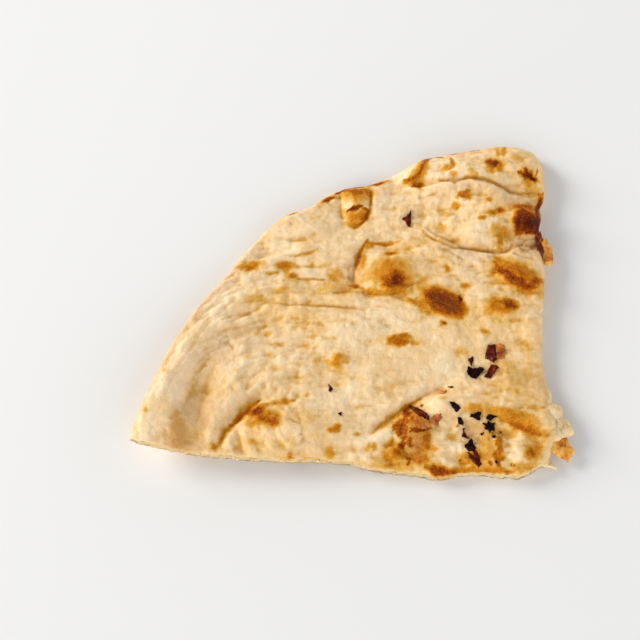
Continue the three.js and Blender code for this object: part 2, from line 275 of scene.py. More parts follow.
@dataclass(frozen=True)
class Step:
    """An edge where one layer of dough lies on another, the layer left of the path being higher."""

    name: str
    path: Path
    rise: float
    run: float  # how far the upper layer takes to sink back
    width: float = 1.1  # plan width of the drop

    def height(self, x: Field, y: Field) -> Field:
        """Measures the edge.

        Args:
            x: Places along the cut.
            y: Places away from the cut.

        Returns:
            Its height at each place.
        """
        distance, share, side = nearest(x, y, self.path)
        signed = distance * side
        drop = smooth(signed / self.width + 0.5)
        return self.rise * drop * np.exp(-np.maximum(signed, 0.0) / self.run) * within_ends(share, 0.2)


PUFFS = (
    Puff("great blister", (12.2, 12.6), (12, 10.5), 0, 3.2, 1.2),
    Puff("rim blister", (1, 39.5), (6.2, 9), 6, 1.6, 1.0),
    Puff("far lobe", (47, 53), (30, 12), 4, 4.6),
    Puff("far lobe, left", (24, 51), (10, 7), 25, 1.6),
    Puff("tongue", (43, 32), (26, 16), -8, 2.2),
    Puff("tongue crown", (45, 27), (12, 8), 10, 1.6),
    Puff("right rim burl", (62, 33), (8, 8), 0, 1.8),
    Puff("brown oval", (31, 0), (9, 5.5), -26, 1.3, 1.4),
    Puff("right ridge", (58, 9.5), (11, 4.5), -24, 2.4, 1.2),
    Puff("small brown puff", (52, -2), (7, 4.5), -8, 1.0),
    Puff("middle blister", (16, -13), (7, 4), 0, 0.9),
    Puff("swirl", (-6, -21), (5, 4.5), 40, 1.4),
    Puff("mound by the cut, left", (-24, -47), (18, 11), -8, 1.4),
    Puff("mound by the cut, middle", (6, -52), (13, 9), 10, 1.3),
    Puff("onion fold", (20, -47), (7, 9), -15, 2.0, 1.2),
    Puff("browned lip", (28, -60), (10, 4.5), 0, 1.3),
    Puff("crusty bump by the onions", (14.2, -54.8), (3.6, 3.6), 0, 0.9),
    Puff("brow pillow", (-15, 29), (14, 6.5), 22, 1.2),
    Puff("small brow pillow", (-18.5, 22), (8, 3.4), 6, 0.9),
    Puff("pale slope by the crease", (-41, -28), (8, 11), -20, 0.9),
    Puff("cream bulge", (55, -53.5), (6.5, 7), 0, 1.2),
    Puff("plain below the tongue", (40, -16), (26, 18), 0, -0.9),
)

FOLDS = (
    Fold("left ridge", ((-68, -50), (-65.5, -40), (-61, -28.5), (-55, -16.5), (-46.5, -3)), 7.5, 1.6),
    Fold("left hollow, upper", ((-53, -38), (-50, -26), (-44, -16), (-35, -8)), 9, -0.9),
    Fold("left hollow", ((-54.8, -58), (-54.2, -46), (-53, -37), (-50, -28)), 7.5, -1.9),
    Fold("brown crease", ((-46, -54), (-43, -46), (-39, -40), (-34, -36), (-27, -33)), 3.6, -1.9),
    Fold("blister side", ((4, 22), (1, 16), (0.6, 11), (2, 5)), 2.4, -0.5),
    Fold("blister foot", ((4, 2.5), (12, 1.6), (21, 4)), 2.4, -1.0),
    Fold("rim blister, left side", ((-5.5, 43), (-4.5, 36)), 2.0, -0.2),
    Fold("rim blister, right side", ((6.8, 46), (6.6, 35)), 2.0, -0.2),
    Fold("cut-side crease", ((2, -49), (9, -45.5), (15, -41.5), (20, -37), (30, -33)), 3.2, -1.1),
    Fold("cut-side ridge", ((19, -40), (30, -38), (40, -39), (50, -42), (60, -44), (68, -45)), 6.5, 3.0),
    Fold("standing fold", ((47.5, -48), (48.5, -53), (47.5, -61)), 3.0, 0.7),
    Fold("fan wrinkle, upper", ((-46, -1), (-38, 4), (-28, 6)), 2.6, 0.8),
    Fold("fan wrinkle, lower", ((-50, -9), (-40, -7), (-30, -6)), 2.6, 0.9),
    Fold("brow wrinkle", ((-36, 14), (-26, 18.5), (-13, 20.5)), 2.8, 1.0),
    Fold("brow hollow", ((-34, 9), (-22, 14), (-12, 16)), 2.6, -0.8),
    Fold("right rim hollow", ((58, 20), (63, 22), (67, 24)), 4.5, -1.6),
)

STEPS = (
    Step(
        "edge of the tongue",
        ((63.5, 27), (60, 22.5), (55, 19.5), (46, 19.5), (38, 21), (30, 25.5), (20, 33)), 1.6, 20,
    ),
    Step(
        "edge of the far lobe",
        ((70, 45), (63, 41.5), (57, 42.5), (50, 46), (42, 48), (33, 47), (24, 46), (14, 47)), 1.9, 18,
    ),
    Step("long pleat", ((15, -1.5), (4, -2.2), (-10, -1.4), (-20, -1), (-30, -2.5)), 0.8, 16),
)


@dataclass
class Outline:
    """The four sides of the sheet in plan, each running the way that the grid counts."""

    tip: Pair = (-74.6, -52.1)  # the left tip, where rim and cut meet
    corner: Pair = (64.4, -58.8)  # the torn right-hand end of the cut
    shoulder: Pair = (66.4, 62.0)  # the rounded far right corner
    brow: Pair = (-32.2, 27.6)  # middle of the long curved rim
    cut_points: Path = (
        (-67.9, -53.3), (-57, -55.7), (-44, -56.8), (-27, -57.5), (-6, -57.9), (9, -60.3), (20, -61.3),
        (28, -62.8), (38, -61.2), (52.5, -62.4), (57, -61.7), (60.7, -59.3),
    )
    right_points: Path = (
        (65.1, -55), (66.6, -50.8), (67.6, -46.5), (67.6, -41.5), (66.9, -37), (65.2, -28), (64.8, -16),
        (66.6, 3), (67.4, 13), (66.6, 20), (66.2, 28), (67.4, 34), (67.2, 38), (69.2, 43), (69.6, 51),
        (69, 57.6),
    )
    far_points: Path = (
        (-25.5, 34.1), (-20, 36.8), (-14.8, 39), (-9.2, 43.6), (-2.4, 47.1), (5, 48.4), (12.3, 51.2),
        (19, 54.6), (25.4, 58.6), (33, 60.2), (43, 62.6), (53, 65), (61, 64.4),
    )
    left_points: Path = (
        (-73.7, -46.6), (-71.8, -40), (-67.4, -28), (-62.2, -15.8), (-55.2, -3.2), (-44.5, 11.6),
        (-38.3, 20.6),
    )
    samples: int = 120  # places along each side that distances are measured to

    def __post_init__(self) -> None:
        """Runs each side between its corners."""
        self.cut = (self.tip, *self.cut_points, self.corner)
        self.right = (self.corner, *self.right_points, self.shoulder)
        self.far = (self.brow, *self.far_points, self.shoulder)
        self.left = (self.tip, *self.left_points, self.brow)

    def place(self, x: Field, y: Field) -> Place:
        """Measures places from the sides.

        Args:
            x: Places along the cut.
            y: Places away from the cut.

        Returns:
            The places with their distances to the baked rim and to the knife cut.
        """
        gaps = [
            nearest(x, y, [(px, py) for px, py in curve_through(side, self.samples)])[0]
            for side in (self.left, self.far, self.right, self.cut)
        ]
        return Place(x, y, np.minimum.reduce(gaps[:3]), gaps[3])

    def blend(self, across: Field, away: Field) -> tuple[Field, Field]:
        """Stretches a grid between the four sides.

        Args:
            across: Shares along the cut, in rising order.
            away: Shares away from the cut, in rising order.

        Returns:
            The X and the Y of every crossing of the grid.
        """
        dense = 2401
        even = np.linspace(0.0, 1.0, dense)
        u, v = across[:, None], away[None, :]
        cut, far, left, right = (
            curve_through(side, dense) for side in (self.cut, self.far, self.left, self.right)
        )
        found = []
        for axis in (0, 1):
            low, high = (np.interp(across, even, side[:, axis])[:, None] for side in (cut, far))
            first, last = (np.interp(away, even, side[:, axis])[None, :] for side in (left, right))
            tip, corner, brow, shoulder = (
                place[axis] for place in (self.tip, self.corner, self.brow, self.shoulder)
            )
            corners = (1 - u) * (1 - v) * tip + u * (1 - v) * corner + (1 - u) * v * brow + u * v * shoulder
            found.append((1 - v) * low + v * high + (1 - u) * first + u * last - corners)
        return found[0], found[1]


@dataclass
class DoughForm:
    """How far the underside stands off the table, how thick the sheet is, and what rises on its top."""

    outline: Outline
    sheet: float = 6.0  # thickness away from puffs and edges
    cut_thickness: float = 4.0  # where the knife pressed the sheet together
    cut_pinch: float = 11.0  # how far in from the cut the sheet is back to its full thickness
    thinnest: float = 2.4
    rim_radius: float = 5.0  # width of the rounding along the baked rim
    rim_blunt: float = 0.25  # share of the thickness that stays upright at the rim
    belly: float = 0.45  # height of the rim's outermost line, as a share of the thickness
    tip_curl: float = 6.0  # how far the left tip stands off the table
    curl_from: Pair = (4.0, -6.0)
    curl_power: float = 1.7  # above 1 the curl sets in late
    cut_lift: Pair = (1.9, 12.0)  # rise of the underside by the cut, and how far in that fades
    rim_lift: Pair = (1.2, 9.0)  # the same by the baked rim
    waves: float = 0.8  # height of the underside's waves
    settled: float = 0.75  # how deep the waves are pressed flat on the table
    dimple: float = 0.35  # height of the shallow dimples all over the top

    def underside(self, at: Place) -> Field:
        """How far the underside stands off the table.

        Args:
            at: The places.

        Returns:
            Heights: the left tip curls up, the cut lifts a little, and low waves leave flat patches.
        """
        reach = (self.outline.tip[0] - self.curl_from[0], self.outline.tip[1] - self.curl_from[1])
        span = reach[0] ** 2 + reach[1] ** 2
        along = ((at.x - self.curl_from[0]) * reach[0] + (at.y - self.curl_from[1]) * reach[1]) / span
        curl = self.tip_curl * np.maximum(along, 0.0) ** self.curl_power
        dragged = self.cut_lift[0] * np.exp(-at.cut / self.cut_lift[1]) * smooth((26 - at.x) / 40)
        edge_lift = self.rim_lift[0] * np.exp(-at.rim / self.rim_lift[1])
        waves = 0.9 * np.sin(at.x / 15 + 0.6) * np.cos(at.y / 13 + 0.4) + 0.5 * np.sin((at.x + at.y) / 11)
        return np.maximum(0.0, curl + dragged + edge_lift + self.waves * waves - self.settled)

    def relief(self, at: Place) -> Field:
        """Adds up what rises or folds on the top.

        Args:
            at: The places.

        Returns:
            Heights in millimetres.
        """
        height = self.dimple * np.sin(at.x / 6.1 + np.sin(at.y / 9)) * np.sin(at.y / 5.3 + 0.8)
        for form in (*PUFFS, *FOLDS, *STEPS):
            height = height + form.height(at.x, at.y)
        return height

    def round_rim(self, at: Place) -> Field:
        """Rounding of the baked rim in section: 1 inside it, less at the outermost line."""
        s = 1.0 - np.minimum(at.rim / self.rim_radius, 1.0)
        return self.rim_blunt + (1.0 - self.rim_blunt) * np.sqrt(np.maximum(1.0 - s * s, 0.0))

    def top(self, at: Place) -> Field:
        """Works out the top surface.

        Args:
            at: The places.

        Returns:
            Heights over the table.
        """
        pinch = self.cut_thickness + (self.sheet - self.cut_thickness) * smooth(at.cut / self.cut_pinch)
        thick = np.maximum(self.thinnest, pinch + self.relief(at))
        return self.underside(at) + thick * (self.belly + (1.0 - self.belly) * self.round_rim(at))

    def bottom(self, at: Place) -> Field:
        """Height of the underside, drawn up round the rim."""
        return self.underside(at) + 0.8 * self.sheet * self.belly * (1.0 - self.round_rim(at))


# ---------------------------------------------------------------- what marks the surface


@dataclass(frozen=True)
class Crease:
    """A thin crease in the skin: a path, its depth, its half width, and how dark its painted shade line is.
    """

    path: Path
    depth: float
    half: float
    line: float
    shade_reach: float = 1.5  # how far out its painted shade line can show

    def trace(self, x: Field, y: Field) -> tuple[Field, Field, Field]:
        """Follows the crease.

        Args:
            x: Places along the cut.
            y: Places away from the cut.

        Returns:
            The groove's height, how strongly its painted shade line shows, and the millimetres to its left.
        """
        distance, share, side = nearest(x, y, self.path)
        taper = within_ends(share, 0.16)
        groove = -self.depth * np.exp(-((distance / self.half) ** 2)) * (0.2 + 0.8 * taper)
        shows = self.line * taper * np.exp(-((distance / self.shade_reach) ** 2))
        return groove, shows, distance * side


@dataclass(frozen=True)
class Spot:
    """An oval mark: centre, half length and half width, turn from X, strength, softness of its edge."""

    layer: Layer
    at: Pair
    half: Pair
    turn: float
    strength: float
    soft: float
    stray: float = 1.0  # how far its outline strays from the oval
    corners: float = 2.0  # 2 is an oval, more is squarer
    halo: float = 0.3  # strength of the faint ring about it

    def share(self, x: Field, y: Field, wobble: Field) -> Field:
        """Measures the mark.

        Args:
            x: Places along the cut.
            y: Places away from the cut.
            wobble: Noise that makes the outline ragged.

        Returns:
            Its strength at each place.
        """
        along, across = in_oval(x, y, self.at, self.half, self.turn)
        radius = (np.abs(along) ** self.corners + np.abs(across) ** self.corners) ** (1.0 / self.corners)
        radius = radius + wobble * min(0.6, 1.1 / min(self.half))
        core = smooth((1.0 + 0.8 * self.soft - radius) / (1.6 * self.soft))
        reach = 1.0 + min(1.3, 3.6 / min(self.half))
        ring = smooth((reach - radius) / (reach - 0.7))
        return self.strength * np.maximum(core, self.halo * ring)


@dataclass(frozen=True)
class Streak:
    """A drawn-out mark: a path, its half width, strength, and softness of its edge."""

    layer: Layer
    path: Path
    half: float
    strength: float
    soft: float
    stray: float = 1.0  # how far its outline strays from the path
    halo: float = 0.3  # strength of the faint band about it

    def share(self, x: Field, y: Field, wobble: Field) -> Field:
        """Measures the mark.

        Args:
            x: Places along the cut.
            y: Places away from the cut.
            wobble: Noise that makes the outline ragged.

        Returns:
            Its strength at each place, narrower towards both ends.
        """
        distance, share, _ = nearest(x, y, self.path)
        width = self.half * (0.35 + 0.65 * within_ends(share, 0.3))
        radius = distance / width + wobble * 0.8
        core = smooth((1.0 + 0.6 * self.soft - radius) / (1.2 * self.soft))
        band = smooth((2.4 - radius) / 1.6)
        return self.strength * np.maximum(core, self.halo * band)


# The tables of marks hold one bracket for each mark, grouped by where it lies on the sheet.

CREASE_ROWS = (  # path, depth, half width, darkness of its painted shade line
    # brown crease
    (((-32.4, -37.6), (-35.1, -39.7), (-36.7, -41.7), (-40.3, -44.9), (-43.2, -48), (-45.1, -52.6),
     (-46, -54.3)), 0.7, 1.4, 0.25),
    (((-31, -38.7), (-25.7, -37.7), (-17.3, -36.4)), 0.2, 0.9, 0.1),
    # folds of the brow
    (((-24.6, 19.7), (-22.9, 18.7), (-20.3, 18.4), (-16.5, 19.3), (-14.1, 20.5), (-12.7, 21.4),
     (-11.6, 18.9)), 0.45, 0.9, 0.35),
    (((-20.7, 14.9), (-17.6, 14.9), (-14.9, 14.7), (-13.7, 16.6)), 0.35, 0.9, 0.25),
    (((-26.8, 25.7), (-22.9, 25.4), (-19.4, 24.7), (-15.9, 25.1)), 0.4, 1, 0.25),
    (((-23.5, 18.2), (-17.9, 18.4), (-15.1, 19.6), (-12.6, 21.6)), 0.6, 2.2, 0.1),
    (((-24, 24.6), (-16.9, 25.4), (-12.3, 27.7)), 0.6, 1.8, 0.1),
    (((-30.2, 11.5), (-25.7, 13)), 0.25, 0.7, 0.3),
    (((-20.7, 10.3), (-15.1, 10.1), (-8.4, 9.7)), 0.35, 0.7, 0.35),
    # long pleat and its swirl
    (((-31.9, -0.5), (-29.7, 0), (-27.1, 0), (-21.8, -1), (-13.8, -1.3), (-6.4, -1.1), (-0.5, -1.8),
     (5, -2.7), (12.6, -2.7)), 0.4, 1, 0.5),
    (((-33.8, -3), (-32.9, -1.3), (-31.4, 0.2), (-29, 1)), 0.3, 1.3, 0.2),
    (((-32.8, -6.5), (-29.7, -4.6), (-29.1, -2.6)), 0.2, 1.3, 0.14),
    # foot of the left ridge
    (((-46.5, -15.3), (-44.8, -13.2), (-42.5, -12.4)), 0.4, 0.8, 0.4),
    (((-43.8, -13.7), (-42, -16), (-40.6, -18.5)), 0.5, 1, 0.4),
    # rim blister
    (((-4.7, 46.7), (-4.2, 41.7), (-3.9, 36.9), (-3.4, 32.9)), 0.6, 1.1, 0.35),
    (((6.8, 46.7), (6.7, 42), (6.5, 37), (4.8, 32.3)), 0.35, 0.8, 0.5),
    (((-2.3, 32), (0.8, 30.2), (3.8, 32)), 0.25, 0.8, 0.2),
    (((-9.4, 40.2), (-7.3, 42), (-5.1, 43)), 0.4, 0.7, 0.5),
    # great blister
    (((5.1, 25.2), (2.9, 21.6), (1.7, 18.6), (0.6, 14.2), (0.3, 10.1), (1.3, 6.6)), 0.4, 0.9, 0.6),
    (((-0.7, 16.7), (-1.6, 12.8), (-1.1, 8.9)), 0.4, 0.8, 0.3),
    (((4.7, 24.6), (7.5, 24), (11.1, 23.8), (15.3, 24.4)), 0.35, 0.8, 0.35),
    (((1.7, 5.6), (4.4, 3.9), (8.6, 3.2), (13.4, 3.3), (16.9, 4.7)), 0.5, 0.9, 0.6),
    (((-8.1, 4.3), (-2.9, 4.8), (1, 4.7)), 0.3, 0.9, 0.35),
    # tongue and far lobe
    (((21.5, 31.2), (24.5, 28.1), (28.2, 24.7), (32, 22.3), (35.9, 20.9), (41.6, 20.7), (44.8, 20.7),
     (48.8, 20), (51.6, 19.1), (53.9, 19.9), (55.7, 21.1), (56.7, 23), (57.1, 25.8)), 0.35, 0.7, 0.75),
    (((31.1, 20.4), (33.4, 19.6), (35.8, 18.3), (38.2, 16.9), (41, 15.4)), 0.4, 0.8, 0.4),
    (((23, 41.9), (26.1, 41.6), (28.9, 42.6), (31.4, 43.6)), 0.4, 0.8, 0.5),
    (((28.3, 48.5), (32.6, 48), (36.7, 46.6), (40.9, 48.5), (45.8, 48.2), (49.4, 47.8), (52.6, 46.3),
     (56.3, 44.5), (59.9, 43.4), (64.6, 44.3), (68, 45.6)), 0.35, 0.7, 0.7),
    # wrinkled patch at the right rim
    (((58, 25.4), (61.2, 24.6), (65.3, 25.9)), 0.6, 0.8, 0.4),
    (((58.1, 21.3), (61.6, 20.2), (65.5, 22.3)), 0.6, 0.8, 0.35),
    (((57.6, 27.2), (60.4, 27), (64.2, 27.8)), 0.35, 0.7, 0.2),
    (((59.2, 23), (62.6, 22.4), (66, 23.6)), 0.35, 0.6, 0.15),
    (((61.2, 28.2), (61.8, 24.4), (61, 20.8)), 0.3, 0.6, 0.1),
    (((56.2, 19), (59.9, 17.1), (64.5, 16.8)), 0.4, 0.8, 0.4),
    # right ridge
    (((50.6, 13.1), (52.9, 10.4), (55.2, 8.2), (58, 6.3)), 0.6, 0.8, 0.6),
    (((58, 4.8), (62.2, 3.8), (66.2, 4.9)), 0.3, 0.8, 0.3),
    # long crease from the cut
    (((4.4, -48.9), (8.5, -44.8), (12.3, -41.9), (16.6, -38.7), (20.5, -36.2), (24.3, -33.9),
     (28, -32.7)), 0.5, 1.1, 0.4),
    (((-4.9, -36.1), (0.5, -35.7), (5.9, -34.3), (13, -31.4), (21.1, -28.3)), 0.35, 1.6, 0.12),
    (((-0.8, -38.6), (5.9, -37.9), (11.3, -36.4)), 0.3, 1.4, 0.1),
    # onion bed, and the low ridge beside it
    (((18.7, -37.9), (20.6, -40.1), (22.8, -41.9), (24.8, -43.4)), 0.5, 0.8, 0.7),
    (((18, -48.3), (20, -47.8), (23.7, -46.5), (25.8, -46)), 0.4, 0.8, 0.6),
    (((16.9, -41.9), (15.8, -46.5), (16, -52), (17.3, -56.3)), 0.4, 0.8, 0.4),
    (((47.5, -43.7), (51.4, -44.7), (55.6, -46.6), (59.9, -48.3), (63.6, -49.1)), 0.5, 0.9, 0.4),
    (((46.9, -52.9), (47.1, -56.6), (46.7, -60.1)), 0.4, 1, 0.4),
    (((63.6, -49.5), (65.3, -47.9), (67.2, -46.1)), 0.4, 0.8, 0.4),
    # mounds in the middle
    (((-24.4, -7.2), (-19.5, -6.6), (-13.7, -7.4), (-8.2, -9)), 0.25, 1, 0.15),
    (((-35.6, -16.1), (-31.5, -14.7), (-26.7, -15.2), (-21.9, -17.2)), 0.25, 1, 0.15),
    (((-18.5, -12.4), (-12.3, -12.2), (-6.8, -13.8)), 0.25, 1, 0.15),
    # left flank
    (((-42.1, 0.8), (-48.1, -6.2), (-53.9, -15.4), (-57.6, -23.7)), 0.3, 1.2, 0.12),
    (((-45.3, -8.2), (-50.2, -16), (-54, -25), (-56, -34.8)), 0.15, 1.4, 0.06),
    (((-53.4, -26.8), (-55.8, -34.5), (-57.8, -42.4), (-58.6, -51.4)), 0.2, 1.2, 0.12),
    (((-49.6, -28.9), (-50.9, -36.7), (-52.6, -44.4), (-54, -51.5)), 0.12, 1.2, 0.06),
    (((-60.1, -27.6), (-63.1, -35.4), (-65.7, -43.6), (-67.8, -50.7)), 0.3, 1.2, 0.1),
    # fan of wrinkles
    (((-29.7, 0.2), (-34.5, -2.8), (-39.2, -5.5), (-43.2, -8)), 0.3, 0.9, 0.3),
    (((-31.6, -5.6), (-36.8, -8.4), (-41.9, -9.5)), 0.3, 1, 0.2),
    (((-40.1, 2.1), (-44.1, -1.5), (-47.1, -6.1)), 0.25, 1, 0.15),
    (((-31.3, -22.5), (-35.3, -28.7), (-36.5, -34.8)), 0.3, 1.4, 0.1),
    # drawn fibres of the brown oval
    (((29, 4.4), (32.5, 1.9), (36.6, 0.2)), 0.22, 0.45, 0.5),
    (((26.8, 4.2), (32.5, 1.7), (37.6, -1.8)), 0.22, 0.45, 0.5),
    (((25.8, 3.2), (31.6, -0.5), (38, -3.2)), 0.22, 0.45, 0.5),
    (((25.8, 1.8), (31.6, -0.9), (37, -4.4)), 0.22, 0.45, 0.5),
    (((26.8, 0), (30.8, -2.8), (35.2, -4.6)), 0.22, 0.45, 0.5),
    # beside the brown oval
    (((14.9, 2.6), (18.9, 1), (23.2, 2.3)), 0.3, 0.8, 0.35),
    (((13.3, -3.2), (17.4, -6.5), (21.5, -6.9), (25, -5.8)), 0.3, 1.2, 0.12),
)

